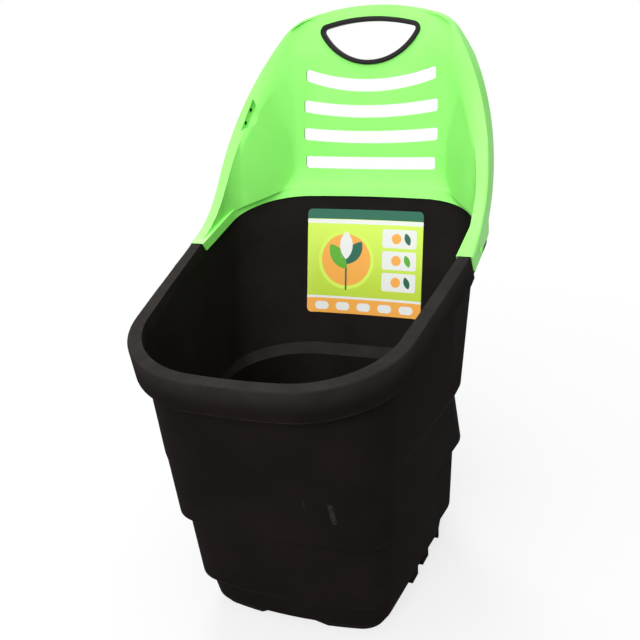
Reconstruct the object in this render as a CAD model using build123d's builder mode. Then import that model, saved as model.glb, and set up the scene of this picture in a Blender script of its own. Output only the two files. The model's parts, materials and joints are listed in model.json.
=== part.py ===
from build123d import *
import os
from math import cos, radians, sin, sqrt, tan

# Garden trolley: a stepped bucket on two wheels, closed at the rear by a tall handle panel.
# Millimetres. +Z is up, the front of the bucket faces -Y, X runs across the trolley.
# The origin is on the floor, under the middle of the trolley's outer box.

os.makedirs("parts", exist_ok=True)

# Overall
overall_height = 850.0
overall_depth = 625.0

# Bucket rim, a plane that climbs to the rear
rim_front_height = 444.0
rim_tilt = 12.0
rim_length = 595.0
rim_front_half = 183.5
rim_knee_half = 221.0
rim_half = 224.0
rim_knee = 345.0
rim_front_bow = 19.0
rim_rear_bow = 14.0
rim_side_bulge = 1.2
rim_front_radius = 147.0
rim_rear_radius = 126.0
rim_width = 18.0
rim_skirt = 45.0
rim_edge_round = 2.5

# Bucket walls
wall = 3.0
wall_half = 203.0
side_splay = 0.11
upper_front_draft = 14.2
lower_front_draft = 7.8
upper_side_draft = 4.0
lower_side_draft = 2.2
upper_rear_draft = 10.7
lower_rear_draft = 1.5
tier_front_bow = 15.0
tier_rear_bow = 10.0
tier_front_radius = 48.0
ledge_front_radius = 72.0
tier_rear_radius = 72.0
ledge_rear_radius = 124.0
ledge_height = 290.0
rear_ledge = 21.0
side_ledge = 3.5
upper_ring_height = 181.0
lower_ring_height = 63.0
step_drop = 13.0
step_inset = 9.5
step_round = 4.0
base_taper = 4.0
base_height = 15.0
floor_underside = 25.0

# Feet under the front corners and along the sides
front_foot_inner = 53.0
front_foot_length = 62.0
front_foot_lean = 45.0
foot_taper = 10.0
side_foot_inner = 105.0
side_foot_front = -44.0
side_foot_gap_front = -18.0
side_foot_gap_rear = 6.0
side_foot_rear = 33.0
rear_foot_inner = 146.0
rear_foot_front = 84.0
rear_foot_rear = 100.0

# Wheels, axle and the bay they stand in
wheel_radius = 80.0
wheel_inner_face = 80.0
wheel_width = 38.0
axle_setback = 128.0
axle_diameter = 12.0
axle_chamfer = 1.0
bay_clearance = 10.0
bay_opening_half = 130.0
lug_inner_face = 56.0
lug_width = 18.0
lug_half_length = 24.0
lug_skin = 0.05
clamp_drop = 15.0
clamp_gap = 0.2
clamp_round = 4.0
clamp_screw_offset = 16.0
clamp_screw_diameter = 4.0
clamp_screw_head = 8.0
clamp_screw_head_height = 3.0
clamp_screw_reach = 18.0
screw_clearance = 0.1

tyre_depth = 11.0
tyre_shoulder = 5.0
tread_count = 24
tread_width = 7.0
tread_depth = 2.5
tread_gap = 6.0
tyre_edge = 2.0
rim_band = 6.0
web_thickness = 6.0
web_window_count = 6
web_window_radius = 9.0
web_window_pitch = 40.0
hub_radius = 17.0
hub_length = 34.0
bush_wall = 3.0
bush_running_fit = 0.05
washer_thickness = 1.5
washer_radius = 12.0
washer_clearance = 0.15
end_play = 0.3
retainer_radius = 9.0
retainer_length = 5.0
hub_cap_wall = 2.0
hub_cap_round = 1.8

# Handle panel
panel_wall = 3.0
seat_gap = 0.4
seam_lean = 35.5
seam_setback = 2.0
cap_skirt = 30.0
cap_lip_height = 15.0
cap_lip = 2.5
flange_radius = 190.0
flange_angle = 57.3
flange_skirt = 40.0
panel_edge_round = 3.5
arch_spring = 565.0
arch_top_radius = 386.0
arch_side_radius = 420.0
arch_shoulder_round = 70.0
flat_height = 600.0
flat_setback = 264.8
flat_tilt = 7.9
flat_half = 128.0
tray_half = 207.0
tray_flare = 0.73
tray_crease_round = 18.0
tray_corner_round = 90.0
bevel_angle = 49.0
rib_height = 9.0
rib_offset = 122.0
rib_foot = 10.0
rib_top = 200.0

# Slots in the flat, from the top one down
slot_height = 20.0
slot_end_round = 4.0
slot_1_half = 112.0
slot_1_station = 146.0
slot_1_sag = 19.0
slot_2_half = 116.0
slot_2_station = 95.0
slot_2_sag = 10.0
slot_3_half = 117.0
slot_3_station = 48.5
slot_3_sag = 5.5
slot_4_half = 114.0
slot_4_station = 1.0
slot_4_sag = 1.0

# Grip ring round the hand opening
grip_low_radius = 97.0
grip_top_radius = 296.0
grip_top_station = 235.0
grip_bottom_station = 160.0
grip_corner_round = 12.0
grip_band = 7.5
grip_sleeve = 3.5
grip_thickness = 5.0
grip_round = 2.2
grip_gap = 0.3

# Notch scooped into the left edge of the panel, with two holes through its side wall
notch_length = 58.0
notch_width = 16.0
notch_depth = 16.0
notch_wall = 2.5
notch_height = 690.0
notch_half = 191.0
notch_turn = 12.4
notch_hole_diameter = 4.5
notch_hole_pitch = 24.0
notch_hole_depth = 6.0

# Screws that hold the panel on the bucket
panel_screw_diameter = 4.0
panel_screw_head = 9.0
panel_screw_head_height = 2.6
panel_screw_length = 12.0
panel_screw_drop = 17.0
panel_screw_rear_offset = 75.0
panel_screw_side_station = 400.0

# Label on the inside of the rear wall
label_width = 206.0
label_height = 178.0
label_bottom = 346.5
label_shift = -2.2
label_thickness = 0.4
label_gap = 0.05
label_corner = 8.0

# Values that follow from the ones above
rim_front = -overall_depth / 2 - rim_edge_round * (cos(radians(rim_tilt)) + sin(radians(rim_tilt)) - 1)
rim_plane = Plane(
    origin=(0, rim_front, rim_front_height),
    x_dir=(1, 0, 0),
    z_dir=(0, -sin(radians(rim_tilt)), cos(radians(rim_tilt))),
)
rim_axis = Axis((0, rim_front, rim_front_height), rim_plane.z_dir)
wall_inset = rim_width - wall
wall_front = rim_front + wall_inset
wall_rear = rim_front + (rim_length - wall_inset) * cos(radians(rim_tilt))
rim_rear_height = rim_front_height + rim_length * sin(radians(rim_tilt))
knee_setback = rim_front + rim_knee * cos(radians(rim_tilt))
knee_height = rim_front_height + rim_knee * sin(radians(rim_tilt))
seam_plane = Plane(
    origin=rim_plane.from_local_coords((0, rim_knee + seam_setback, 0)),
    x_dir=(1, 0, 0),
    z_dir=(0, cos(radians(seam_lean)), sin(radians(seam_lean))),
)
foot_reach = rim_half
front_foot_middle = front_foot_inner + foot_reach / 2
side_foot_middle = side_foot_inner + foot_reach / 2
side_foot_spans = [(side_foot_front, side_foot_gap_front), (side_foot_gap_rear, side_foot_rear)]
rear_foot_middle = rear_foot_inner + foot_reach / 2
lug_outer_face = lug_inner_face + lug_width
lug_middle = lug_inner_face + lug_width / 2
axle_height = wheel_radius
clamp_screw_places = [
    (x_side * lug_middle, axle_setback + y_side * clamp_screw_offset)
    for x_side in (-1, 1)
    for y_side in (-1, 1)
]
flange_y = knee_setback - flange_radius * sin(radians(rim_tilt))
flange_z = knee_height + flange_radius * cos(radians(rim_tilt))
panel_screw_planes = [
    Plane(
        origin=rim_plane.from_local_coords((x_side * panel_screw_rear_offset, rim_length, -panel_screw_drop)),
        x_dir=(1, 0, 0),
        z_dir=rim_plane.y_dir,
    )
    for x_side in (-1, 1)
] + [
    Plane(
        origin=rim_plane.from_local_coords((x_side * rim_half, panel_screw_side_station, -panel_screw_drop)),
        x_dir=rim_plane.y_dir,
        z_dir=(x_side, 0, 0),
    )
    for x_side in (-1, 1)
]
bay_roof = 2 * wheel_radius + bay_clearance
bay_front = axle_setback - wheel_radius - bay_clearance
axle_axis = Axis((0, axle_setback, axle_height), (1, 0, 0))
flat_plane = Plane(
    origin=(0, flat_setback, flat_height),
    x_dir=(1, 0, 0),
    z_dir=(0, -cos(radians(flat_tilt)), sin(radians(flat_tilt))),
)
tray_plane = Plane(
    origin=flat_plane.from_local_coords((0, -flat_height / 4, 0)),
    x_dir=(1, 0, 0),
    z_dir=flat_plane.y_dir,
)
bevel_plane = Plane(
    origin=rim_plane.from_local_coords((0, rim_length - rim_width, 0)),
    x_dir=(1, 0, 0),
    z_dir=(0, -sin(radians(bevel_angle)), cos(radians(bevel_angle))),
)
flat_top = flat_setback + (overall_height - flat_height) * tan(radians(flat_tilt))
back_plane = flat_plane.offset((flat_top - overall_depth / 2) * cos(radians(flat_tilt)))
flange_bend = (
    0,
    flange_y + flange_radius * sin(radians(rim_tilt + flange_angle) / 2),
    flange_z - flange_radius * cos(radians(rim_tilt + flange_angle) / 2),
)
strip_foot_y = flange_y + flange_radius * sin(radians(flange_angle))
strip_foot_z = flange_z - flange_radius * cos(radians(flange_angle))
strip_plane = Plane(
    origin=(0, strip_foot_y + (notch_height - strip_foot_z) / tan(radians(flange_angle)), notch_height),
    x_dir=(1, 0, 0),
    z_dir=(0, -sin(radians(flange_angle)), cos(radians(flange_angle))),
)
notch_plane = Plane(strip_plane * Location((-notch_half, 0, 0), (0, 0, -notch_turn)))
notch_hole_plane = Plane(
    origin=notch_plane.from_local_coords((0, 0, -notch_hole_depth)),
    x_dir=notch_plane.y_dir,
    z_dir=notch_plane.x_dir,
)
flat_axis = Axis((0, flat_setback, flat_height), flat_plane.z_dir)
hub_start = lug_outer_face + 2 * end_play + washer_thickness
hub_end = hub_start + hub_length
retainer_start = hub_end + 2 * end_play + washer_thickness
retainer_end = retainer_start + retainer_length
hub_cap_end = retainer_end + 2 * end_play + hub_cap_wall
wheel_middle = wheel_inner_face + wheel_width / 2
band_radius = wheel_radius - tyre_depth
band_width = wheel_width - 2 * tyre_edge
axle_radius = axle_diameter / 2
bush_radius = axle_radius + bush_running_fit + bush_wall
web_depth = band_radius - bush_radius - rim_band / 2
beyond = 2 * overall_height


def plan_outline(front_half, knee_half, rear_half, front, knee, rear, bows, radii):
    """Plan of the bucket: bowed ends, sides with a knee, rounded corners; front before rear."""
    front_corner = front + bows[0]
    rear_corner = rear - bows[1]
    side_middle = (front_corner + knee) / 2
    side_half = (front_half + knee_half) / 2 + rim_side_bulge
    with BuildSketch() as plan:
        with BuildLine():
            ThreePointArc((-front_half, front_corner), (0, front), (front_half, front_corner))
            ThreePointArc((front_half, front_corner), (side_half, side_middle), (knee_half, knee))
            Line((knee_half, knee), (rear_half, rear_corner))
            ThreePointArc((rear_half, rear_corner), (0, rear), (-rear_half, rear_corner))
            Line((-rear_half, rear_corner), (-knee_half, knee))
            ThreePointArc((-knee_half, knee), (-side_half, side_middle), (-front_half, front_corner))
        make_face()
        fillet(plan.vertices().group_by(Axis.Y)[0], radii[0])
        fillet(plan.vertices().group_by(Axis.Y)[-1], radii[1])
    return plan.sketch


def rim_outline(inset):
    """Plan of the rim in its own plane, drawn in by an inset."""
    return plan_outline(
        rim_front_half - inset,
        rim_knee_half - inset,
        rim_half - inset,
        inset,
        rim_knee,
        rim_length - inset,
        (rim_front_bow, rim_rear_bow),
        (rim_front_radius - inset, rim_rear_radius - inset),
    )


def tier_outline(height, rings, ledges, skin):
    """Plan of the bucket at a height, below a number of rings and ledges, drawn in by a skin."""
    inset = rings * step_inset + skin
    upper = height >= ledge_height - step_drop
    front_radius = ledge_front_radius if upper else tier_front_radius
    rear_radius = ledge_rear_radius if upper else tier_rear_radius
    front = wall_front + inset
    front += (rim_front_height - max(height, upper_ring_height)) * tan(radians(upper_front_draft))
    front += (upper_ring_height - min(height, upper_ring_height)) * tan(radians(lower_front_draft))
    half = wall_half - inset
    half -= (knee_height - max(height, ledge_height)) * tan(radians(upper_side_draft))
    half -= (ledge_height - min(height, ledge_height)) * tan(radians(lower_side_draft))
    rear = wall_rear - ledges * rear_ledge - inset
    rear -= (rim_rear_height - max(height, ledge_height)) * tan(radians(upper_rear_draft))
    rear -= (ledge_height - min(height, ledge_height)) * tan(radians(lower_rear_draft))
    return plan_outline(
        half + side_splay * (front + tier_front_bow),
        half - ledges * side_ledge + side_splay * knee_setback,
        half - ledges * side_ledge + side_splay * (rear - tier_rear_bow),
        front,
        knee_setback,
        rear,
        (tier_front_bow, tier_rear_bow),
        (front_radius - skin, rear_radius - skin),
    )


def bucket_levels(skin, rise):
    """Planes and plans of the bucket from the ledge down to the base."""
    steps = (
        (ledge_height, 0, 0),
        (ledge_height - step_drop, 0, 1),
        (upper_ring_height, 0, 1),
        (upper_ring_height - step_drop, 1, 1),
        (lower_ring_height, 1, 1),
        (lower_ring_height - step_drop, 2, 1),
    )
    return [
        (Plane.XY.offset(height + rise), tier_outline(height, rings, ledges, skin))
        for height, rings, ledges in steps
    ]


outer_levels = bucket_levels(0, 0)
inner_levels = bucket_levels(wall, wall)
outer_base = tier_outline(base_height, 2, 1, base_taper)
inner_base = tier_outline(base_height, 2, 1, base_taper + wall)
foot_base = tier_outline(base_height, 2, 1, base_taper + foot_taper)
foot_inner_base = tier_outline(base_height, 2, 1, base_taper + foot_taper + wall)
base_front = outer_base.bounding_box().min.Y
rim_edge = rim_outline(0)
rim_skirt_inside = rim_outline(wall)
seat_edge = rim_outline(panel_wall + seat_gap)
seat_inside = rim_outline(panel_wall + seat_gap + wall)
wall_outside = rim_outline(wall_inset)
wall_inside = rim_outline(rim_width)

# Space inside the bucket, above the floor and the wheel bay
with BuildPart() as cavity:
    with BuildSketch(rim_plane):
        add(wall_inside)
    for level_plane, level_plan in inner_levels:
        with BuildSketch(level_plane):
            add(level_plan)
    with BuildSketch(Plane.XY.offset(floor_underside + wall)):
        add(inner_base)
    loft(ruled=True)
    with BuildSketch(Plane.XY):
        with Locations((0, bay_front - wall)):
            Rectangle(beyond, beyond, align=(Align.CENTER, Align.MIN))
    extrude(amount=bay_roof + wall, mode=Mode.SUBTRACT)

# Open space under the bucket: the wheel bay at the rear, a shallow recess below the floor in front
with BuildPart() as underside:
    for level_plane, level_plan in inner_levels:
        with BuildSketch(level_plane):
            add(level_plan)
    with BuildSketch(Plane.XY.offset(base_height)):
        add(inner_base)
    loft(ruled=True)
    with BuildSketch(Plane.XY):
        with Locations((0, bay_front)):
            Rectangle(beyond, beyond, align=(Align.CENTER, Align.MIN))
    extrude(amount=bay_roof, mode=Mode.INTERSECT)
    with BuildSketch(Plane.XY):
        add(inner_base)
    extrude(amount=floor_underside)
    with BuildSketch(Plane.XY):
        with Locations((0, axle_setback)):
            Rectangle(2 * bay_opening_half, beyond, align=(Align.CENTER, Align.MIN))
    extrude(amount=bay_roof)

# Rim in front of the panel, hollow from below
with BuildPart() as front_rim:
    with BuildSketch(rim_plane):
        add(rim_edge)
    extrude(amount=-rim_skirt)
    fillet(front_rim.faces().sort_by(rim_axis)[-1].edges(), rim_edge_round)
    with BuildSketch(rim_plane.offset(-wall)):
        add(rim_skirt_inside)
    extrude(amount=-rim_skirt, mode=Mode.SUBTRACT)
    split(bisect_by=seam_plane, keep=Keep.BOTTOM)

# Rim behind the seam, drawn in and lowered to carry the panel
with BuildPart() as rear_rim:
    with BuildSketch(rim_plane.offset(-panel_wall - seat_gap)):
        add(seat_edge)
    extrude(amount=panel_wall + seat_gap - rim_skirt)
    with BuildSketch(rim_plane.offset(-panel_wall - seat_gap - wall)):
        add(seat_inside)
    extrude(amount=-rim_skirt, mode=Mode.SUBTRACT)
    split(bisect_by=seam_plane, keep=Keep.TOP)

# Everything above the lowered rim, behind the seam
with BuildPart() as seat_space:
    with BuildSketch(rim_plane.offset(-panel_wall - seat_gap)):
        with Locations((0, rim_length)):
            Rectangle(beyond, beyond)
    extrude(amount=rim_skirt)
    split(bisect_by=seam_plane, keep=Keep.TOP)

# Front feet: blocks that taper to the floor inside the base outline, hollow from above
with BuildPart() as front_foot_blocks:
    with BuildSketch(Plane.XY):
        for side in (-1, 1):
            with Locations((side * front_foot_middle, base_front + front_foot_length / 2)):
                Rectangle(foot_reach, front_foot_length)
    extrude(amount=floor_underside + wall, taper=-front_foot_lean)

with BuildPart() as front_feet:
    with BuildSketch(Plane.XY):
        add(foot_base)
    with BuildSketch(Plane.XY.offset(base_height)):
        add(outer_base)
    loft(ruled=True)
    with BuildSketch(Plane.XY.offset(base_height)):
        add(outer_base)
    extrude(amount=floor_underside + wall - base_height)
    add(front_foot_blocks.part, mode=Mode.INTERSECT)

with BuildPart() as front_hollow_blocks:
    with BuildSketch(Plane.XY.offset(wall)):
        for side in (-1, 1):
            with Locations((side * (front_foot_middle + wall), base_front + front_foot_length / 2)):
                Rectangle(foot_reach, front_foot_length - 2 * wall)
    extrude(amount=floor_underside + wall, taper=-front_foot_lean)

with BuildPart() as front_hollows:
    with BuildSketch(Plane.XY.offset(wall)):
        add(foot_inner_base)
    with BuildSketch(Plane.XY.offset(base_height + wall)):
        add(inner_base)
    loft(ruled=True)
    with BuildSketch(Plane.XY.offset(base_height + wall)):
        add(inner_base)
    extrude(amount=floor_underside - base_height)
    add(front_hollow_blocks.part, mode=Mode.INTERSECT)

# Side feet: straight blocks flush with the base, two hollow ones and a small solid one at the rear
with BuildPart() as side_foot_blocks:
    with BuildSketch(Plane.XY):
        for side in (-1, 1):
            for span_front, span_rear in side_foot_spans:
                with Locations((side * side_foot_middle, (span_front + span_rear) / 2)):
                    Rectangle(foot_reach, span_rear - span_front)
            with Locations((side * rear_foot_middle, (rear_foot_front + rear_foot_rear) / 2)):
                Rectangle(foot_reach, rear_foot_rear - rear_foot_front)
    extrude(amount=floor_underside + wall)

with BuildPart() as side_feet:
    with BuildSketch(Plane.XY):
        add(outer_base)
    extrude(amount=floor_underside + wall)
    add(side_foot_blocks.part, mode=Mode.INTERSECT)

with BuildPart() as side_hollow_blocks:
    with BuildSketch(Plane.XY.offset(wall)):
        for side in (-1, 1):
            for span_front, span_rear in side_foot_spans:
                with Locations((side * (side_foot_middle + wall), (span_front + span_rear) / 2)):
                    Rectangle(foot_reach, span_rear - span_front - 2 * wall)
    extrude(amount=floor_underside + wall)

with BuildPart() as side_hollows:
    with BuildSketch(Plane.XY.offset(wall)):
        add(inner_base)
    extrude(amount=floor_underside)
    add(side_hollow_blocks.part, mode=Mode.INTERSECT)

with BuildPart() as bucket:
    with BuildSketch(rim_plane):
        add(wall_outside)
    for level_plane, level_plan in outer_levels:
        with BuildSketch(level_plane):
            add(level_plan)
    with BuildSketch(Plane.XY.offset(base_height)):
        add(outer_base)
    loft(ruled=True)
    for level_plane, level_plan in outer_levels[2:]:
        ring_height = level_plane.origin.Z
        ring_edges = bucket.edges().filter_by_position(Axis.Z, ring_height - wall / 2, ring_height + wall / 2)
        fillet(ring_edges, step_round)
    add(front_rim.part)
    add(seat_space.part, mode=Mode.SUBTRACT)
    add(rear_rim.part)
    add(cavity.part, mode=Mode.SUBTRACT)
    add(underside.part, mode=Mode.SUBTRACT)
    add(front_feet.part)
    add(side_feet.part)
    add(front_hollows.part, mode=Mode.SUBTRACT)
    add(side_hollows.part, mode=Mode.SUBTRACT)
    # Lugs that hang from the bay's roof, with half-round seats for the axle
    with BuildSketch(Plane.XY.offset(axle_height + clamp_gap)):
        for side in (-1, 1):
            with Locations((side * lug_middle, axle_setback)):
                Rectangle(lug_width, 2 * lug_half_length)
    extrude(amount=bay_roof + wall / 2 - axle_height - clamp_gap)
    with BuildSketch(Plane.YZ.offset(-lug_outer_face)):
        with Locations((axle_setback, axle_height)):
            Circle(axle_diameter / 2 + lug_skin)
    extrude(amount=2 * lug_outer_face, mode=Mode.SUBTRACT)
    with BuildSketch(Plane.XY.offset(axle_height)):
        for x_place, y_place in clamp_screw_places:
            with Locations((x_place, y_place)):
                Circle(clamp_screw_diameter / 2 + screw_clearance)
    extrude(amount=clamp_screw_reach, mode=Mode.SUBTRACT)
    # Pilot holes for the panel screws
    for screw_plane in panel_screw_planes:
        with BuildSketch(screw_plane):
            Circle(panel_screw_diameter / 2 + screw_clearance)
        extrude(amount=-panel_screw_length, mode=Mode.SUBTRACT)
bucket.part.label = "bucket"
export_step(bucket.part, "parts/bucket.step")


def panel_profile(back):
    """Side view of everything behind the panel's sweeping front edge, which is moved back."""
    lower = radians(rim_tilt)
    upper = radians(flange_angle)
    middle = (lower + upper) / 2
    radius = flange_radius + back
    start = (flange_y + radius * sin(lower), flange_z - radius * cos(lower))
    bend = (flange_y + radius * sin(middle), flange_z - radius * cos(middle))
    end = (flange_y + radius * sin(upper), flange_z - radius * cos(upper))
    tip = (end[0] + beyond * cos(upper), end[1] + beyond * sin(upper))
    with BuildSketch() as profile:
        with BuildLine():
            ThreePointArc(start, bend, end)
            Polyline(end, tip, (tip[0], 0), (start[0], 0), start)
        make_face()
    return profile.sketch


def arch_outline(inset):
    """Front view of the panel, drawn in by an inset: straight below, then side arcs that meet a top arc."""
    half = rim_half - inset
    side_radius = arch_side_radius - inset
    top_radius = arch_top_radius - inset
    across = arch_side_radius - rim_half
    down = arch_spring - overall_height + arch_top_radius
    apart = sqrt(across**2 + down**2)
    along = (side_radius**2 - top_radius**2 + apart**2) / (2 * apart)
    off = sqrt(side_radius**2 - along**2)
    shoulder_half = (along * across + off * down) / apart - across
    shoulder = arch_spring + (off * across - along * down) / apart
    with BuildSketch() as arch:
        with BuildLine():
            Polyline((-half, arch_spring), (-half, 0), (half, 0), (half, arch_spring))
            RadiusArc((half, arch_spring), (shoulder_half, shoulder), -side_radius)
            ThreePointArc((shoulder_half, shoulder), (0, overall_height - inset), (-shoulder_half, shoulder))
            RadiusArc((-shoulder_half, shoulder), (-half, arch_spring), -side_radius)
        make_face()
        fillet(arch.vertices().group_by(Axis.Y)[-1], arch_shoulder_round - inset)
    return arch.sketch


def tray_outline(grow):
    """Plan of the tray, grown by a wall: flat at the back, flared sides, straight in front."""
    slant = grow * sqrt(1 + tray_flare**2)
    crease = flat_half + slant - tray_flare * grow
    half = tray_half + grow
    depth = (half - flat_half - slant) / tray_flare
    with BuildSketch() as tray_plan:
        with BuildLine():
            Polyline(
                (crease, grow),
                (half, -depth),
                (half, -overall_depth),
                (-half, -overall_depth),
                (-half, -depth),
                (-crease, grow),
                close=True,
            )
        make_face()
        fillet(tray_plan.vertices().group_by(Axis.Y)[-1], tray_crease_round + grow)
        fillet(tray_plan.vertices().group_by(Axis.Y)[1], tray_corner_round + grow)
    return tray_plan.sketch


def slot_outline(half, station, sag):
    """A drooping slot, drawn in the flat of the panel."""
    top = station + slot_height / 2
    bottom = station - slot_height / 2
    with BuildSketch() as slot:
        with BuildLine():
            ThreePointArc((-half, top), (0, top - sag), (half, top))
            Line((half, top), (half, bottom))
            ThreePointArc((half, bottom), (0, bottom - sag), (-half, bottom))
            Line((-half, bottom), (-half, top))
        make_face()
        fillet(slot.vertices(), slot_end_round)
    return slot.sketch


def grip_outline(inset):
    """Outline of the hand opening's ring, drawn in by an inset: two arcs that meet at rounded corners."""
    low_radius = grip_low_radius - inset
    top_radius = grip_top_radius - inset
    low_centre = grip_bottom_station + grip_low_radius
    top_centre = grip_top_station - grip_top_radius
    station = low_radius**2 - top_radius**2 - low_centre**2 + top_centre**2
    station /= 2 * (top_centre - low_centre)
    half = sqrt(low_radius**2 - (station - low_centre) ** 2)
    with BuildSketch() as ring:
        with BuildLine():
            ThreePointArc((-half, station), (0, grip_bottom_station + inset), (half, station))
            ThreePointArc((half, station), (0, grip_top_station - inset), (-half, station))
        make_face()
        fillet(ring.vertices(), grip_corner_round - inset)
    return ring.sketch


def notch_outline(grow):
    """The notch in the panel's strip, grown by a wall: a straight outer side and a bow towards the tray."""
    half = notch_length / 2 + grow
    with BuildSketch() as notch:
        with BuildLine():
            ThreePointArc((-grow, half), (notch_width + grow, 0), (-grow, -half))
            Line((-grow, -half), (-grow, half))
        make_face()
    return notch.sketch


panel_side = panel_profile(0)
strip_back = panel_profile(panel_wall)
skirt_back = panel_profile(flange_skirt)
arch_edge = arch_outline(0)
arch_inside = arch_outline(panel_wall)
tray_inside = tray_outline(0)
tray_outside = tray_outline(panel_wall)
slots = [
    slot_outline(slot_1_half, slot_1_station, slot_1_sag),
    slot_outline(slot_2_half, slot_2_station, slot_2_sag),
    slot_outline(slot_3_half, slot_3_station, slot_3_sag),
    slot_outline(slot_4_half, slot_4_station, slot_4_sag),
]
grip_edge = grip_outline(0)
grip_hole = grip_outline(grip_band - grip_sleeve - grip_gap)
grip_sleeve_edge = grip_outline(grip_band - grip_sleeve)
grip_opening = grip_outline(grip_band)
label_front = wall + label_gap + label_thickness
label_rim_outside = rim_outline(wall_inset + wall + label_gap)
label_rim_inside = rim_outline(wall_inset + label_front)
label_ledge_outside = tier_outline(ledge_height, 0, 0, wall + label_gap)
label_ledge_inside = tier_outline(ledge_height, 0, 0, label_front)
lip_rim_outside = rim_outline(rim_width + seat_gap)
lip_rim_inside = rim_outline(rim_width + seat_gap + cap_lip)
lip_ledge_outside = tier_outline(ledge_height, 0, 0, wall + seat_gap)
lip_ledge_inside = tier_outline(ledge_height, 0, 0, wall + seat_gap + cap_lip)

# Everything inside the panel's outer form, with a rounded edge along its front
with BuildPart() as envelope:
    with BuildSketch(Plane.YZ):
        add(panel_side)
    extrude(amount=overall_depth, both=True)
    with BuildSketch(Plane.XZ):
        add(arch_edge)
    extrude(amount=-overall_depth, mode=Mode.INTERSECT)
    flange_face = envelope.faces().sort_by_distance(flange_bend)[0]
    strip_face = envelope.faces().sort_by_distance(strip_plane.origin)[0]
    fillet((flange_face.edges() + strip_face.edges()).filter_by(Axis.X, reverse=True), panel_edge_round)

# Tray: the space in front of the panel's flat and between its side walls
with BuildPart() as tray:
    with BuildSketch(tray_plane):
        add(tray_inside)
    extrude(amount=overall_height)
    split(bisect_by=bevel_plane, keep=Keep.TOP)

# Walls round the notch, behind the tray
with BuildPart() as notch_walls:
    with BuildSketch(notch_plane):
        add(notch_outline(notch_wall))
    extrude(amount=-notch_depth - notch_wall)
    add(tray.part, mode=Mode.SUBTRACT)

# Walls of the tray: flat, flared sides and the bevel at the foot
with BuildPart() as tray_walls:
    with BuildSketch(tray_plane):
        add(tray_outside)
    extrude(amount=overall_height)
    split(bisect_by=bevel_plane.offset(-panel_wall), keep=Keep.TOP)
    add(tray.part, mode=Mode.SUBTRACT)
    add(envelope.part, mode=Mode.INTERSECT)
    split(bisect_by=rim_plane.offset(-panel_wall), keep=Keep.TOP)
    split(bisect_by=seam_plane.offset(seat_gap), keep=Keep.TOP)

# Front strip of the panel, between the tray's edge and the arch
with BuildPart() as strip:
    with BuildSketch(Plane.YZ):
        add(panel_side)
        add(strip_back, mode=Mode.SUBTRACT)
    extrude(amount=rim_half, both=True)
    add(envelope.part, mode=Mode.INTERSECT)
    add(tray.part, mode=Mode.SUBTRACT)
    split(bisect_by=rim_plane.offset(-panel_wall), keep=Keep.TOP)
    split(bisect_by=seam_plane.offset(seat_gap), keep=Keep.TOP)
    split(bisect_by=back_plane, keep=Keep.TOP)

# Skirt round the outside of the arch
with BuildPart() as skirt:
    with BuildSketch(Plane.YZ):
        add(panel_side)
        add(skirt_back, mode=Mode.SUBTRACT)
    extrude(amount=rim_half, both=True)
    with BuildSketch(Plane.XZ):
        add(arch_edge)
        add(arch_inside, mode=Mode.SUBTRACT)
    extrude(amount=-overall_depth, mode=Mode.INTERSECT)
    add(envelope.part, mode=Mode.INTERSECT)
    split(bisect_by=rim_plane.offset(-cap_skirt), keep=Keep.TOP)
    split(bisect_by=seam_plane.offset(seat_gap), keep=Keep.TOP)
    split(bisect_by=back_plane, keep=Keep.TOP)

# Lip that hangs inside the bucket's rear wall
with BuildPart() as lip:
    with BuildSketch(rim_plane):
        add(lip_rim_outside)
    with BuildSketch(Plane.XY.offset(ledge_height + wall)):
        add(lip_ledge_outside)
    loft(ruled=True)
    with BuildSketch(rim_plane):
        add(lip_rim_inside)
    with BuildSketch(Plane.XY.offset(ledge_height + wall)):
        add(lip_ledge_inside)
    loft(ruled=True, mode=Mode.SUBTRACT)
    split(bisect_by=rim_plane.offset(-cap_lip_height), keep=Keep.TOP)

# Channel that caps the rear half of the bucket's rim
with BuildPart() as cap:
    with BuildSketch(rim_plane):
        add(rim_edge)
    extrude(amount=-cap_skirt)
    with BuildSketch(rim_plane.offset(-panel_wall)):
        add(rim_skirt_inside)
    extrude(amount=-cap_skirt, mode=Mode.SUBTRACT)
    with BuildSketch(rim_plane):
        add(lip_rim_inside)
    extrude(amount=-cap_skirt, mode=Mode.SUBTRACT)
    add(lip.part)
    split(bisect_by=seam_plane.offset(seat_gap), keep=Keep.TOP)

with BuildPart() as handle_panel:
    add(cap.part)
    add(tray_walls.part)
    add(strip.part)
    add(skirt.part)
    with BuildSketch(flat_plane):
        for slot_plan in slots:
            add(slot_plan)
        add(grip_hole)
    extrude(amount=slot_height, both=True, mode=Mode.SUBTRACT)
    # Two ribs up the back of the flat
    with BuildSketch(flat_plane.offset(-panel_wall / 2)):
        for side in (-1, 1):
            with Locations((side * rib_offset, (rib_foot + rib_top) / 2)):
                Rectangle(panel_wall, rib_top - rib_foot)
    extrude(amount=-rib_height)
    # Notch in the left strip, with two holes through its side wall
    add(notch_walls.part)
    with BuildSketch(notch_plane):
        add(notch_outline(0))
    extrude(amount=-notch_depth, mode=Mode.SUBTRACT)
    with BuildSketch(notch_hole_plane.offset(notch_wall / 2)):
        with GridLocations(notch_hole_pitch, 0, 2, 1):
            Circle(notch_hole_diameter / 2)
    extrude(amount=-2 * notch_wall, mode=Mode.SUBTRACT)
    for screw_plane in panel_screw_planes:
        with BuildSketch(screw_plane.offset(panel_screw_head)):
            Circle(panel_screw_diameter / 2 + screw_clearance)
        extrude(amount=-panel_screw_head - panel_screw_length, mode=Mode.SUBTRACT)
handle_panel.part.label = "handle_panel"
export_step(handle_panel.part, "parts/handle_panel.step")

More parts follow.
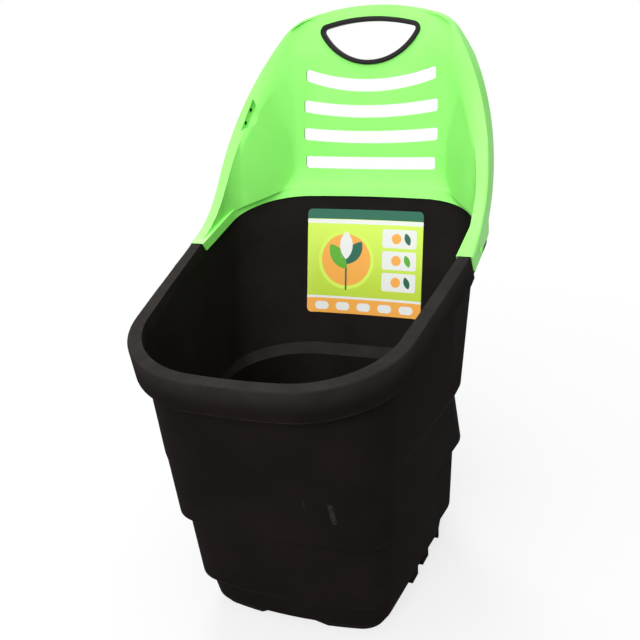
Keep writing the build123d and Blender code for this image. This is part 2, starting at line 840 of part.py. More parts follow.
# Grip: two rings that clasp the edge of the hand opening and meet in the middle of the flat
with BuildPart() as grip_front:
    with BuildSketch(flat_plane):
        add(grip_edge)
    extrude(amount=grip_thickness)
    fillet(grip_front.faces().sort_by(flat_axis)[-1].edges(), grip_round)
    with BuildSketch(flat_plane):
        add(grip_sleeve_edge)
    extrude(amount=-panel_wall / 2)
    with BuildSketch(flat_plane.offset(grip_thickness)):
        add(grip_opening)
    extrude(amount=-grip_thickness - panel_wall, mode=Mode.SUBTRACT)
    fillet(grip_front.faces().sort_by(flat_axis)[-1].inner_wires().edges(), grip_round)
grip_front.part.label = "grip_front"
export_step(grip_front.part, "parts/grip_front.step")

with BuildPart() as grip_rear:
    with BuildSketch(flat_plane.offset(-panel_wall)):
        add(grip_edge)
    extrude(amount=-grip_thickness)
    fillet(grip_rear.faces().sort_by(flat_axis)[0].edges(), grip_round)
    with BuildSketch(flat_plane.offset(-panel_wall)):
        add(grip_sleeve_edge)
    extrude(amount=panel_wall / 2)
    with BuildSketch(flat_plane):
        add(grip_opening)
    extrude(amount=-grip_thickness - 2 * panel_wall, mode=Mode.SUBTRACT)
    fillet(grip_rear.faces().sort_by(flat_axis)[0].inner_wires().edges(), grip_round)
grip_rear.part.label = "grip_rear"
export_step(grip_rear.part, "parts/grip_rear.step")

# Label: a thin sheet that follows the rear wall
with BuildPart() as label_sheet:
    with BuildSketch(rim_plane):
        add(label_rim_outside)
    with BuildSketch(Plane.XY.offset(ledge_height + wall)):
        add(label_ledge_outside)
    loft(ruled=True)
    with BuildSketch(Plane.XZ):
        with Locations((label_shift, label_bottom + label_height / 2)):
            RectangleRounded(label_width, label_height, label_corner)
    extrude(amount=-overall_depth, mode=Mode.INTERSECT)
    with BuildSketch(rim_plane):
        add(label_rim_inside)
    with BuildSketch(Plane.XY.offset(ledge_height + wall)):
        add(label_ledge_inside)
    loft(ruled=True, mode=Mode.SUBTRACT)
label_sheet.part.label = "label_sheet"
export_step(label_sheet.part, "parts/label_sheet.step")

# Screws through the panel's skirt into the bucket's rim
with BuildPart() as panel_screws:
    for screw_plane in panel_screw_planes:
        with BuildSketch(screw_plane.offset(seat_gap / 2)):
            Circle(panel_screw_head / 2)
        extrude(amount=panel_screw_head_height)
        with BuildSketch(screw_plane.offset(seat_gap / 2)):
            Circle(panel_screw_diameter / 2)
        extrude(amount=-panel_screw_length)
panel_screws.part.label = "panel_screws"
export_step(panel_screws.part, "parts/panel_screws.step")

# Axle, its clamps and their screws
with BuildPart() as axle:
    with BuildSketch(Plane.YZ.offset(-retainer_end)):
        with Locations((axle_setback, axle_height)):
            Circle(axle_radius)
    extrude(amount=2 * retainer_end)
    chamfer(axle.faces().filter_by(Axis.X).edges(), axle_chamfer)
axle.part.label = "axle"
export_step(axle.part, "parts/axle.step")

for side, hand in ((-1, "left"), (1, "right")):
    with BuildPart() as axle_clamp:
        with BuildSketch(Plane.XY.offset(axle_height - clamp_drop)):
            with Locations((side * lug_middle, axle_setback)):
                Rectangle(lug_width, 2 * lug_half_length)
        extrude(amount=clamp_drop - clamp_gap)
        fillet(axle_clamp.edges().filter_by(Axis.X).group_by(Axis.Z)[0], clamp_round)
        with BuildSketch(Plane.YZ.offset(-lug_outer_face)):
            with Locations((axle_setback, axle_height)):
                Circle(axle_radius + lug_skin)
        extrude(amount=2 * lug_outer_face, mode=Mode.SUBTRACT)
        with BuildSketch(Plane.XY):
            for x_place, y_place in clamp_screw_places:
                with Locations((x_place, y_place)):
                    Circle(clamp_screw_diameter / 2 + screw_clearance)
        extrude(amount=axle_height, mode=Mode.SUBTRACT)
    axle_clamp.part.label = "axle_clamp_" + hand
    export_step(axle_clamp.part, "parts/axle_clamp_" + hand + ".step")

with BuildPart() as clamp_screws:
    with BuildSketch(Plane.XY.offset(axle_height - clamp_drop)):
        for x_place, y_place in clamp_screw_places:
            with Locations((x_place, y_place)):
                Circle(clamp_screw_head / 2)
    extrude(amount=-clamp_screw_head_height)
    with BuildSketch(Plane.XY.offset(axle_height - clamp_drop)):
        for x_place, y_place in clamp_screw_places:
            with Locations((x_place, y_place)):
                Circle(clamp_screw_diameter / 2)
    extrude(amount=clamp_drop + clamp_screw_reach - clamp_screw_head_height)
clamp_screws.part.label = "clamp_screws"
export_step(clamp_screws.part, "parts/clamp_screws.step")

# Wheels: drawn in a plane through the axle, X outwards and Y along the radius
for side, hand in ((-1, "left"), (1, "right")):
    wheel_plane = Plane(origin=(0, axle_setback, axle_height), x_dir=(side, 0, 0), z_dir=(0, -side, 0))
    face_plane = Plane(
        origin=(side * wheel_middle, axle_setback, axle_height),
        x_dir=(0, 1, 0),
        z_dir=(side, 0, 0),
    )

    with BuildPart() as tyre:
        with BuildSketch(wheel_plane):
            with Locations((wheel_middle, wheel_radius - tyre_depth / 2)):
                RectangleRounded(wheel_width, tyre_depth, tyre_shoulder)
            with Locations((wheel_middle, band_radius)):
                Rectangle(band_width, tyre_depth - tyre_shoulder, align=(Align.CENTER, Align.MIN))
        revolve(axis=axle_axis)
        with BuildSketch(face_plane.offset(-wheel_width)):
            with PolarLocations(wheel_radius, tread_count):
                Rectangle(2 * tread_depth, tread_width)
        extrude(amount=wheel_width - tread_gap / 2, mode=Mode.SUBTRACT)
        with BuildSketch(face_plane.offset(tread_gap / 2)):
            with PolarLocations(wheel_radius, tread_count, start_angle=180 / tread_count):
                Rectangle(2 * tread_depth, tread_width)
        extrude(amount=wheel_width, mode=Mode.SUBTRACT)
    tyre.part.label = "tyre_" + hand
    export_step(tyre.part, "parts/tyre_" + hand + ".step")

    with BuildPart() as wheel:
        with BuildSketch(wheel_plane):
            with Locations((wheel_middle, band_radius - rim_band / 2)):
                Rectangle(band_width, rim_band)
            with Locations((wheel_middle, bush_radius)):
                Rectangle(web_thickness, web_depth, align=(Align.CENTER, Align.MIN))
            with Locations((hub_start, bush_radius)):
                Rectangle(hub_length, hub_radius - bush_radius, align=(Align.MIN, Align.MIN))
        revolve(axis=axle_axis)
        with BuildSketch(face_plane.offset(-wheel_width / 2)):
            with PolarLocations(web_window_pitch, web_window_count):
                Circle(web_window_radius)
        extrude(amount=wheel_width, mode=Mode.SUBTRACT)
    wheel.part.label = "wheel_" + hand
    export_step(wheel.part, "parts/wheel_" + hand + ".step")

    with BuildPart() as hub_bush:
        with BuildSketch(wheel_plane):
            with Locations((hub_start, axle_radius + bush_running_fit)):
                Rectangle(hub_length, bush_wall, align=(Align.MIN, Align.MIN))
        revolve(axis=axle_axis)
    hub_bush.part.label = "hub_bush_" + hand
    export_step(hub_bush.part, "parts/hub_bush_" + hand + ".step")

    for washer_start, place in ((lug_outer_face + end_play, "inner"), (hub_end + end_play, "outer")):
        with BuildPart() as washer:
            with BuildSketch(wheel_plane):
                with Locations((washer_start, axle_radius + washer_clearance)):
                    Rectangle(washer_thickness, washer_radius - axle_radius, align=(Align.MIN, Align.MIN))
            revolve(axis=axle_axis)
        washer.part.label = place + "_washer_" + hand
        export_step(washer.part, "parts/" + place + "_washer_" + hand + ".step")

    with BuildPart() as retainer:
        with BuildSketch(wheel_plane):
            with Locations((retainer_start, axle_radius)):
                Rectangle(retainer_length, retainer_radius - axle_radius, align=(Align.MIN, Align.MIN))
        revolve(axis=axle_axis)
    retainer.part.label = "axle_retainer_" + hand
    export_step(retainer.part, "parts/axle_retainer_" + hand + ".step")

    with BuildPart() as hub_cap:
        with BuildSketch(wheel_plane):
            with Locations((wheel_middle + web_thickness / 2, 0)):
                Rectangle(
                    hub_cap_end - wheel_middle - web_thickness / 2,
                    hub_radius + hub_cap_wall,
                    align=(Align.MIN, Align.MIN),
                )
        revolve(axis=axle_axis)
        cap_face = hub_cap.faces().filter_by(Axis.X).sort_by(Axis.X)[-1 if side > 0 else 0]
        fillet(cap_face.edges(), hub_cap_round)
        with BuildSketch(wheel_plane):
            with Locations((wheel_middle, 0)):
                Rectangle(hub_cap_end - hub_cap_wall - wheel_middle, hub_radius, align=(Align.MIN, Align.MIN))
        revolve(axis=axle_axis, mode=Mode.SUBTRACT)
    hub_cap.part.label = "hub_cap_" + hand
    export_step(hub_cap.part, "parts/hub_cap_" + hand + ".step")
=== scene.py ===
import json
import math
from functools import reduce

import bmesh
import bpy
from bpy.props import FloatProperty, FloatVectorProperty, IntProperty, PointerProperty
from bpy.types import Operator, Panel, PropertyGroup
from mathutils import Matrix, Vector


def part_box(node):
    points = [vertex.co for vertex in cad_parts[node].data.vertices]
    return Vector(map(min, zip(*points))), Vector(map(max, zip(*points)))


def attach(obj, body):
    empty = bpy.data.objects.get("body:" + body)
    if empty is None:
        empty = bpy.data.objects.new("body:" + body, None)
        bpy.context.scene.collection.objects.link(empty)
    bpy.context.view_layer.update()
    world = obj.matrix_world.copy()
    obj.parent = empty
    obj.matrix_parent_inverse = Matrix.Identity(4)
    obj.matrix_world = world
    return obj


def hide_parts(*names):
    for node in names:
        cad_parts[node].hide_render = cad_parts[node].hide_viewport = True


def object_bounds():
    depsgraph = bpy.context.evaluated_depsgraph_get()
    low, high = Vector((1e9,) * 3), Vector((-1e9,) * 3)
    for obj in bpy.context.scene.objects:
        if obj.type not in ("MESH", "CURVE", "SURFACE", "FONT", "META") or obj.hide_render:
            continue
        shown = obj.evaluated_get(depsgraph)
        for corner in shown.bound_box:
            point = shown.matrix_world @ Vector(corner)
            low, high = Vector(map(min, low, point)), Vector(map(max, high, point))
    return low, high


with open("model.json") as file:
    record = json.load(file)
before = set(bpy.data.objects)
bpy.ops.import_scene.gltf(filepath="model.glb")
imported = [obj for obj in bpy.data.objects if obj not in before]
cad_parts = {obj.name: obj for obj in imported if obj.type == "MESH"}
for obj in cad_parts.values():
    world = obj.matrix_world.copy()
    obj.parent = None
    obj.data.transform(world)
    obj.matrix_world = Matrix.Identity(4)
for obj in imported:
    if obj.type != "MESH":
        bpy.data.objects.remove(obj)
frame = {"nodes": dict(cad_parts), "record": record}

bl_info = {
    "name": "Garden trolley",
    "version": (1, 0, 0),
    "blender": (4, 5, 0),
    "location": "View3D > Sidebar > Trolley",
    "description": "Dresses the garden trolley: plastics, label, screws, wheels and a studio",
    "category": "Object",
}

CAD_LOW, CAD_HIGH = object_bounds()
NODES = frame["nodes"]
TROLLEY = "trolley"
HANDS = ("left", "right")
LABEL_LOW, LABEL_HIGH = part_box("label_sheet")
OPENINGS = frame["record"]["physics"]["openings"]
SLOTS = [row["box_m"] for row in OPENINGS if row["name"].startswith("slot")]
IMAGE_SIDE = 640
SENSOR = 36.0

# Sockets of a Mix node that carry colours
MIX_FIRST, MIX_SECOND, MIX_RESULT = 6, 7, 2

# Roughness of moulded plastic: its drift with the tone, and what rubbing and soil add
SMOOTHER_TONE, ROUGHER_TONE = 0.04, 0.05
RUBBED_ROUGHNESS, SOIL_ROUGHNESS = 0.12, 0.3
GRAIN_STRENGTH = 0.32

# Where each lamp stands, and its diameter
LAMPS = {
    "key": ((0.3, -2.5, 1.9), 1.5),
    "fill": ((-2.2, -1.2, 1.6), 1.8),
    "back": ((-1.2, 1.9, 2.3), 1.4),
    "top": ((0.0, -0.4, 3.0), 1.8),
}


# Settings that a user can change


def colour_property(name, description, default):
    """A linear colour."""
    return FloatVectorProperty(
        name=name, description=description, subtype="COLOR", min=0.0, max=1.0, default=default
    )


def length_property(name, description, default):
    """A length in metres."""
    return FloatProperty(
        name=name, description=description, unit="LENGTH", subtype="DISTANCE", default=default
    )


def span_property(name, description, default):
    """A pair of lengths in metres."""
    return FloatVectorProperty(
        name=name, description=description, unit="LENGTH", size=2, default=default
    )


def place_property(name, description, default):
    """A point in metres."""
    return FloatVectorProperty(
        name=name, description=description, unit="LENGTH", subtype="TRANSLATION", default=default
    )


def angle_property(name, description, degrees):
    """An angle."""
    return FloatProperty(
        name=name, description=description, subtype="ANGLE", default=math.radians(degrees)
    )


def power_property(name, description, default):
    """A lamp's power in watts."""
    return FloatProperty(name=name, description=description, unit="POWER", default=default)


def number_property(name, description, default):
    """A plain number."""
    return FloatProperty(name=name, description=description, default=default)


class TrolleyFinishes(PropertyGroup):
    """Colours and surface detail of the trolley's plastics, rubber, steel and print."""

    bucket_colour: colour_property("Bucket", "Black of the bucket", (0.0086, 0.0066, 0.0062))
    # Also the colour of the painted sheen and edge highlights on the black plastics
    bucket_worn: colour_property("Bucket wear", "Grey of rubbed black edges", (0.075, 0.072, 0.068))
    panel_colour: colour_property("Panel", "Lime of the handle panel", (0.292, 0.87, 0.176))
    panel_deep: colour_property("Panel shade", "Deeper lime that it drifts to", (0.262, 0.82, 0.15))
    # Also the colour of the painted sheen and edge highlights on the panel
    panel_worn: colour_property("Panel wear", "Paler lime of rubbed edges", (0.43, 0.94, 0.33))
    grip_colour: colour_property("Grip", "Black of the grip ring", (0.011, 0.0102, 0.01))
    wheel_colour: colour_property("Wheel", "Charcoal of the moulded wheels", (0.02, 0.02, 0.021))
    rubber_colour: colour_property("Tyre", "Black of the tyre rubber", (0.013, 0.013, 0.0135))
    bush_colour: colour_property("Bush", "Off-white of the hub bushes", (0.62, 0.6, 0.54))
    steel_colour: colour_property("Steel", "Zinc plated steel", (0.56, 0.57, 0.59))
    # Painted shade: the dark film on the slots' walls stands in for their shade
    grime_colour: colour_property("Grime", "Dark film on the slots' walls", (0.045, 0.12, 0.028))
    dust_colour: colour_property("Dust", "Dry soil on upward faces", (0.16, 0.125, 0.09))
    print_field: colour_property("Label field", "Yellow-green of the label", (0.5, 0.68, 0.05))
    print_warm: colour_property("Label warm", "Orange of the label", (0.92, 0.42, 0.075))
    print_dark: colour_property("Label dark", "Dark green of the label", (0.012, 0.13, 0.075))
    print_leaf: colour_property("Label leaf", "Leaf green of the label", (0.11, 0.42, 0.03))
    print_white: colour_property("Label white", "White of the label's fields", (0.82, 0.83, 0.8))
    grain_size: number_property("Grain", "Grain cells in a metre", 2300.0)
    grain_depth: length_property("Grain depth", "Depth of the moulded grain", 0.00035)
    # Edge wear also serves as a painted highlight along edges
    edge_reach: length_property("Edge reach", "How far wear reaches from an edge", 0.0016)
    mark_across: length_property("Mark across", "Rubbed mark's place from the centre line", 0.097)
    mark_up: length_property("Mark up", "Height of the rubbed mark on the front", 0.243)


class TrolleyForms(PropertyGroup):
    """Planes of the rim and the panel that the rim's painted sheen and soft creases follow."""

    rim_place: place_property("Rim", "Front of the rim's upper edge", (0.0, -0.312965, 0.444))
    rim_lean: angle_property("Rim lean", "Climb of the rim towards the rear", 12.0)
    # The reach is how far the rim's painted sheen runs below its edge
    rim_reach: length_property("Rim reach", "How far rubbing reaches below the rim's edge", 0.036)
    flat_place: place_property("Flat", "A point on the panel's flat", (0.0, 0.2648, 0.6))
    flat_lean: angle_property("Flat lean", "Lean of the panel's flat", 7.9)
    flat_half: length_property("Flat half", "Half of the flat's width", 0.128)
    side_flare: number_property("Side flare", "Widening of the panel's sides", 0.73)
    side_depths: span_property("Side depths", "Depth of straight and flared sides", (0.095, 0.07))
    strip_place: place_property("Strip", "A point on the edge strip", (0.0, 0.14488, 0.598932))
    strip_lean: angle_property("Strip lean", "Climb of the panel's edge strip", 57.3)
    bevel_place: place_property("Bevel", "A point on the bevel", (0.0, 0.251426, 0.563965))
    bevel_lean: angle_property("Bevel lean", "Climb of the bevel under the flat", 49.0)
    crease_heights: span_property("Crease heights", "Where the creases soften", (0.62, 0.77))
    crease_reach: span_property("Crease reach", "Roundness at those heights", (0.014, 0.075))
    strip_heights: span_property("Strip heights", "Where the strip's crease softens", (0.68, 0.83))
    strip_reach: span_property("Strip reach", "Roundness at those heights", (0.011, 0.05))


class TrolleyFasteners(PropertyGroup):
    """Sizes of the screws."""

    panel_head: length_property("Panel screw head", "Diameter of a panel screw's head", 0.009)
    panel_head_height: length_property("Panel head height", "Height of that head", 0.0026)
    panel_length: length_property("Panel screw length", "Length of a panel screw's shank", 0.012)
    clamp_head: length_property("Clamp screw head", "Diameter of a clamp screw's head", 0.008)
    clamp_head_height: length_property("Clamp head height", "Height of that head", 0.003)
    clamp_length: length_property("Clamp screw length", "Length of a clamp screw's shank", 0.03)
    shank: length_property("Shank", "Diameter of every screw's shank", 0.004)
    recess: length_property("Recess", "Width of the cross in a head", 0.0011)
    sides: IntProperty(name="Sides", description="Sides of a screw's round parts", default=40)


class TrolleySockets(PropertyGroup):
    """Collared blind sockets in the two holes of the panel's notch; their black is painted shade
    inside the holes, and their closed bores shade them too.
    """

    lower_hole: place_property("Lower hole", "Its middle", (-0.194798, 0.202207, 0.677122))
    upper_hole: place_property("Upper hole", "Its middle", (-0.189644, 0.21487, 0.696847))
    facing: FloatVectorProperty(
        name="Facing", description="Way the holes open", subtype="DIRECTION",
        default=(0.976672, -0.116009, -0.180702),
    )
    seat: length_property("Seat", "From a hole's middle to the underside of its collar", 0.00128)
    collar: length_property("Collar", "Radius of a socket's collar", 0.0032)
    collar_height: length_property("Collar height", "Height of a socket's collar", 0.0005)
    bore: length_property("Bore", "Radius inside a socket", 0.0018)
    outside: length_property("Outside", "Radius outside a socket", 0.0022)
    depth: length_property("Depth", "Depth of a socket below a hole's middle", 0.006)
    sides: IntProperty(name="Sides", description="Sides of a socket's round walls", default=32)


class TrolleyStage(PropertyGroup):
    """Camera, lamps and floor."""

    camera_place: place_property("Camera", "Camera position", (0.44267, -1.11185, 0.86087))
    camera_yaw: angle_property("Yaw", "Camera turn to the left", 21.75)
    camera_pitch: angle_property("Pitch", "Camera tilt downwards", 20.95)
    camera_roll: angle_property("Roll", "Camera roll", -3.39)
    focal_pixels: number_property("Focal length", "Focal length in pixels", 851.03)
    centre_rise: number_property("Rise", "Principal point below the middle, in pixels", 7.16)
    key_power: power_property("Key", "Power of the key lamp", 62.0)
    fill_power: power_property("Fill", "Power of the fill lamp", 14.0)
    back_power: power_property("Back", "Power of the lamp behind", 46.0)
    top_power: power_property("Top", "Power of the lamp overhead", 42.0)
    ambient: number_property("Ambient", "Strength of the surrounding light", 0.34)
    floor_colour: colour_property("Floor", "Pale floor", (0.7, 0.7, 0.7))
    floor_lift: number_property("Floor lift", "Share of white in the seen floor", 0.76)
    floor_fade: span_property("Floor fade", "Radii where the floor turns white", (0.45, 1.6))
    floor_radius: length_property("Floor radius", "Radius of the floor", 7.0)
    floor_sides: IntProperty(name="Floor sides", description="Sides of the round floor", default=96)


def join(tree, value, socket):
    """Links one output or a list of them to a socket, or sets the socket's own value."""
    if isinstance(value, list):
        for output in value:
            tree.links.new(output, socket)
    elif isinstance(value, bpy.types.NodeSocket):
        tree.links.new(value, socket)
    elif isinstance(value, (int, float, str)):
        socket.default_value = value
    else:
        whole = len(value) == len(socket.default_value)
        socket.default_value = tuple(value) if whole else (*value, 1.0)


def add_node(tree, kind, inputs, **settings):
    """A node with its settings, and its inputs linked or set by name; the node's outputs."""
    node = tree.nodes.new(kind)
    for label, value in settings.items():
        setattr(node, label, value)
    for label, value in inputs.items():
        join(tree, value, node.inputs[label])
    return node.outputs


def math_step(tree, operation, *values):
    """One math node's output."""
    return add_node(tree, "ShaderNodeMath", dict(enumerate(values)), operation=operation)[0]


def chain(tree, operation, *values):
    """Values taken together, one after another, by a math operation."""
    return reduce(lambda first, second: math_step(tree, operation, first, second), values)


def vector_step(tree, operation, first, second=(0.0, 0.0, 0.0)):
    """One vector math node's output."""
    inputs = {0: first, "Scale" if operation == "SCALE" else 1: second}
    outputs = add_node(tree, "ShaderNodeVectorMath", inputs, operation=operation)
    return outputs["Value" if operation in ("DOT_PRODUCT", "LENGTH") else "Vector"]


def ease(tree, value, given, wanted=(0.0, 1.0)):
    """A value eased from a given range to a wanted one."""
    labels = ("Value", "From Min", "From Max", "To Min", "To Max")
    inputs = dict(zip(labels, (value, *given, *wanted)))
    return add_node(tree, "ShaderNodeMapRange", inputs, interpolation_type="SMOOTHSTEP")["Result"]


def blend_colours(tree, factor, first, second):
    """A mix of two colours."""
    inputs = {"Factor": factor, MIX_FIRST: first, MIX_SECOND: second}
    return add_node(tree, "ShaderNodeMix", inputs, data_type="RGBA")[MIX_RESULT]


def object_place(tree, stretch=(1.0, 1.0, 1.0)):
    """Object coordinates, stretched along the axes."""
    place = add_node(tree, "ShaderNodeTexCoord", {})["Object"]
    return add_node(tree, "ShaderNodeMapping", {"Vector": place, "Scale": stretch})["Vector"]


def axes_of(tree, vector):
    """A vector's X, Y and Z."""
    return add_node(tree, "ShaderNodeSeparateXYZ", {"Vector": vector})


def own_normal(tree):
    """The surface's own normal."""
    return add_node(tree, "ShaderNodeNewGeometry", {})["Normal"]


def noise(tree, scale, detail, rough, stretch=(1.0, 1.0, 1.0)):
    """A noise pattern on Object coordinates."""
    place = object_place(tree, stretch)
    inputs = {"Vector": place, "Scale": scale, "Detail": detail, "Roughness": rough}
    return add_node(tree, "ShaderNodeTexNoise", inputs)["Fac"]


def mottle(tree, given, wanted=(0.0, 1.0), **pattern):
    """A noise pattern eased from a given range to a wanted one."""
    return ease(tree, noise(tree, **pattern), given, wanted)


def add_sockets(tree, way, kind, labels):
    """Named sockets of one kind on a node group."""
    for label in labels:
        tree.interface.new_socket(name=label, in_out=way, socket_type="NodeSocket" + kind)


def new_group(fill):
    """A shader group with named numbers; fill makes its nodes and gives its outputs by name."""
    tree = bpy.data.node_groups.new(fill.__name__, "ShaderNodeTree")
    add_sockets(tree, "INPUT", "Float", EFFECTS[fill])
    outputs = fill(tree, tree.nodes.new("NodeGroupInput").outputs)
    add_sockets(tree, "OUTPUT", "Float", outputs)
    result = tree.nodes.new("NodeGroupOutput").inputs
    for label, value in outputs.items():
        join(tree, value, result[label])
    return tree


def moulded_grain(tree, given):
    """Fine moulded grain, and a slow drift of tone."""
    cell_share, drift_share, pit_depth = 0.45, 0.0035, 0.55
    cell_scale = math_step(tree, "MULTIPLY", given["Scale"], cell_share)
    inputs = {"Vector": object_place(tree), "Scale": cell_scale}
    cells = add_node(tree, "ShaderNodeTexVoronoi", inputs)
    pits = math_step(tree, "MULTIPLY", cells["Distance"], pit_depth)
    fine = noise(tree, scale=given["Scale"], detail=4.0, rough=0.62)
    drift_scale = math_step(tree, "MULTIPLY", given["Scale"], drift_share)
    drift = mottle(tree, (0.32, 0.68), scale=drift_scale, detail=3.0, rough=0.55)
    return {"Height": math_step(tree, "ADD", fine, pits), "Tone": drift}


def handling_scuffs(tree, given):
    """Short rubbed streaks gathered in patches."""
    streak = {"detail": 5.0, "rough": 0.7}
    steep = mottle(tree, (0.62, 0.74), scale=46.0, stretch=(1.0, 1.0, 0.09), **streak)
    level = mottle(tree, (0.64, 0.76), scale=60.0, stretch=(0.1, 0.12, 1.0), **streak)
    streaks = math_step(tree, "MAXIMUM", steep, level)
    patches = mottle(tree, (0.5, 0.68), scale=6.5, detail=3.0, rough=0.55)
    return {"Mask": chain(tree, "MULTIPLY", streaks, patches, given["Amount"])}


def settled_dust(tree, given):
    """Soil dust on faces that look up, thicker towards the floor."""
    upward = ease(tree, axes_of(tree, own_normal(tree))["Z"], (0.35, 0.95), (0.12, 1.0))
    height = axes_of(tree, object_place(tree))["Z"]
    share = math_step(tree, "DIVIDE", height, given["Fade Height"])
    near_floor = ease(tree, share, (0.0, 1.0), (1.0, 0.0))
    specks = mottle(tree, (0.46, 0.74), scale=160.0, detail=6.0, rough=0.72)
    return {"Mask": chain(tree, "MULTIPLY", specks, upward, near_floor, given["Amount"])}


def upward_bloom(tree, given):
    """Painted sheen: a pale tone on faces that look up, standing in for the light they catch from
    above.
    """
    upward = ease(tree, axes_of(tree, own_normal(tree))["Z"], (0.45, 0.95))
    uneven = mottle(tree, (0.3, 0.7), wanted=(0.65, 1.0), scale=30.0, detail=5.0, rough=0.65)
    return {"Mask": chain(tree, "MULTIPLY", upward, uneven, given["Amount"])}


def rubbed_edges(tree, given):
    """Rubbed wear and a painted highlight along edges: where the surface turns within a short
    reach.
    """
    rounded = add_node(tree, "ShaderNodeBevel", {"Radius": given["Reach"]}, samples=4)["Normal"]
    turn = vector_step(tree, "DOT_PRODUCT", rounded, own_normal(tree))
    edge = ease(tree, turn, (0.99, 0.86))
    broken = mottle(tree, (0.35, 0.7), wanted=(0.25, 1.0), scale=85.0, detail=4.0, rough=0.65)
    return {"Mask": chain(tree, "MULTIPLY", edge, broken, given["Amount"])}


def printed_patch(tree, given):
    """A patch seen from the front: a rectangle with round corners, turned about its middle."""

    def times(first, second):
        """The product of two values."""
        return math_step(tree, "MULTIPLY", first, second)

    place = axes_of(tree, object_place(tree))
    across = math_step(tree, "SUBTRACT", place["X"], given["Across"])
    up = math_step(tree, "SUBTRACT", place["Z"], given["Up"])
    cosine, sine = math_step(tree, "COSINE", given["Turn"]), math_step(tree, "SINE", given["Turn"])
    along = math_step(tree, "ADD", times(across, cosine), times(up, sine))
    beside = math_step(tree, "SUBTRACT", times(up, cosine), times(across, sine))
    squares = []
    for value, half in ((along, "Half Width"), (beside, "Half Height")):
        inner = math_step(tree, "SUBTRACT", given[half], given["Corner"])
        over = math_step(tree, "SUBTRACT", math_step(tree, "ABSOLUTE", value), inner)
        span = math_step(tree, "MAXIMUM", over, 0.0)
        squares.append(times(span, span))
    distance = math_step(tree, "SQRT", math_step(tree, "ADD", *squares))
    edge = math_step(tree, "SUBTRACT", distance, given["Corner"])
    soft_edge = 0.0003
    return {"Mask": ease(tree, edge, (soft_edge, -soft_edge))}


# Effects that the materials share, and their inputs
EFFECTS = {
    moulded_grain: ["Scale"],
    handling_scuffs: ["Amount"],
    settled_dust: ["Amount", "Fade Height"],
    upward_bloom: ["Amount"],
    rubbed_edges: ["Reach", "Amount"],
    printed_patch: ["Across", "Up", "Half Width", "Half Height", "Corner", "Turn"],
}


def effect(tree, fill, **values):
    """A shared effect placed in a material, with its own values; its outputs."""
    group = bpy.data.node_groups.get(fill.__name__) or new_group(fill)
    inputs = {label.replace("_", " ").title(): value for label, value in values.items()}
    return add_node(tree, "ShaderNodeGroup", inputs, node_tree=group)


def new_material(name, specular, coat=0.0):
    """A material with one Principled shader; the material, its tree and the shader's inputs."""
    material = bpy.data.materials.new(name)
    material.use_nodes = True
    tree = material.node_tree
    shader = tree.nodes["Principled BSDF"].inputs
    shader["Specular IOR Level"].default_value = specular
    shader["Coat Weight"].default_value = coat
    return material, tree, shader


def add_bump(tree, shader, height, depth, strength, normal=None):
    """Surface relief from a height, on a normal of its own where one is given."""
    inputs = {"Strength": strength, "Distance": depth, "Height": height}
    if normal:
        inputs["Normal"] = normal
    join(tree, add_node(tree, "ShaderNodeBump", inputs)["Normal"], shader["Normal"])


def leaning(angle):
    """The upward normal of a plane that climbs towards the rear."""
    return Vector((0.0, -math.sin(angle), math.cos(angle)))


def panel_flat():
    """The forward normal of the panel's flat."""
    return leaning(math.pi / 2 - bpy.context.scene.trolley_forms.flat_lean)


def height_over(tree, origin, normal):
    """Signed distance of the surface from a plane."""
    reach = vector_step(tree, "DOT_PRODUCT", object_place(tree), normal)
    return math_step(tree, "SUBTRACT", reach, Vector(origin).dot(normal))


def rim_rub(tree):
    """Painted sheen: a pale band along the rim's upper edge, where the rim catches the light."""
    forms = bpy.context.scene.trolley_forms
    over = height_over(tree, forms.rim_place, leaning(forms.rim_lean))
    near = ease(tree, over, (-forms.rim_reach, 0.0))
    uneven = mottle(tree, (0.3, 0.7), wanted=(0.12, 0.2), scale=24.0, detail=4.0, rough=0.6)
    return math_step(tree, "MULTIPLY", near, uneven)


def load_rub(tree):
    """A paler tone on the walls that look inwards."""
    outward = vector_step(tree, "MULTIPLY", object_place(tree), (1.0, 1.0, 0.0))
    inside = ease(tree, vector_step(tree, "DOT_PRODUCT", own_normal(tree), outward), (-0.03, -0.09))
    uneven = mottle(tree, (0.3, 0.7), wanted=(0.05, 0.09), scale=14.0, detail=5.0, rough=0.62)
    return math_step(tree, "MULTIPLY", inside, uneven)


def front_mark(tree):
    """A short rubbed mark on the bucket's front."""
    finishes = bpy.context.scene.trolley_finishes
    patch = effect(
        tree, printed_patch, across=finishes.mark_across, up=finishes.mark_up,
        half_width=0.0035, half_height=0.018, corner=0.003, turn=math.radians(4.0),
    )["Mask"]
    ahead = ease(tree, axes_of(tree, object_place(tree))["Y"], (-0.18, -0.2))
    broken = mottle(tree, (0.3, 0.75), wanted=(0.05, 0.3), scale=210.0, detail=4.0, rough=0.6)
    return chain(tree, "MULTIPLY", patch, ahead, broken)


def bucket_marks(tree):
    """The painted sheen along the rim, the paler inward walls, and the rubbed mark on the front."""
    return chain(tree, "MAXIMUM", rim_rub(tree), load_rub(tree), front_mark(tree))


def slot_film(tree):
    """Painted shade: a dark film on every side-on face in a patch around the panel's slots,
    standing in for the shade on the slots' walls.
    """
    facing = vector_step(tree, "DOT_PRODUCT", own_normal(tree), panel_flat())
    side_on = ease(tree, math_step(tree, "ABSOLUTE", facing), (0.6, 0.2))
    low, high = min(box[0][2] for box in SLOTS), max(box[1][2] for box in SLOTS)
    half_width, half_height = max(box[1][0] for box in SLOTS), (high - low) / 2
    margin_across, margin_up, strength = 0.014, 0.024, 0.85
    patch = effect(
        tree, printed_patch, across=0.0, up=(low + high) / 2, corner=0.004,
        half_width=half_width + margin_across, half_height=half_height + margin_up,
    )["Mask"]
    return chain(tree, "MULTIPLY", side_on, patch, strength)


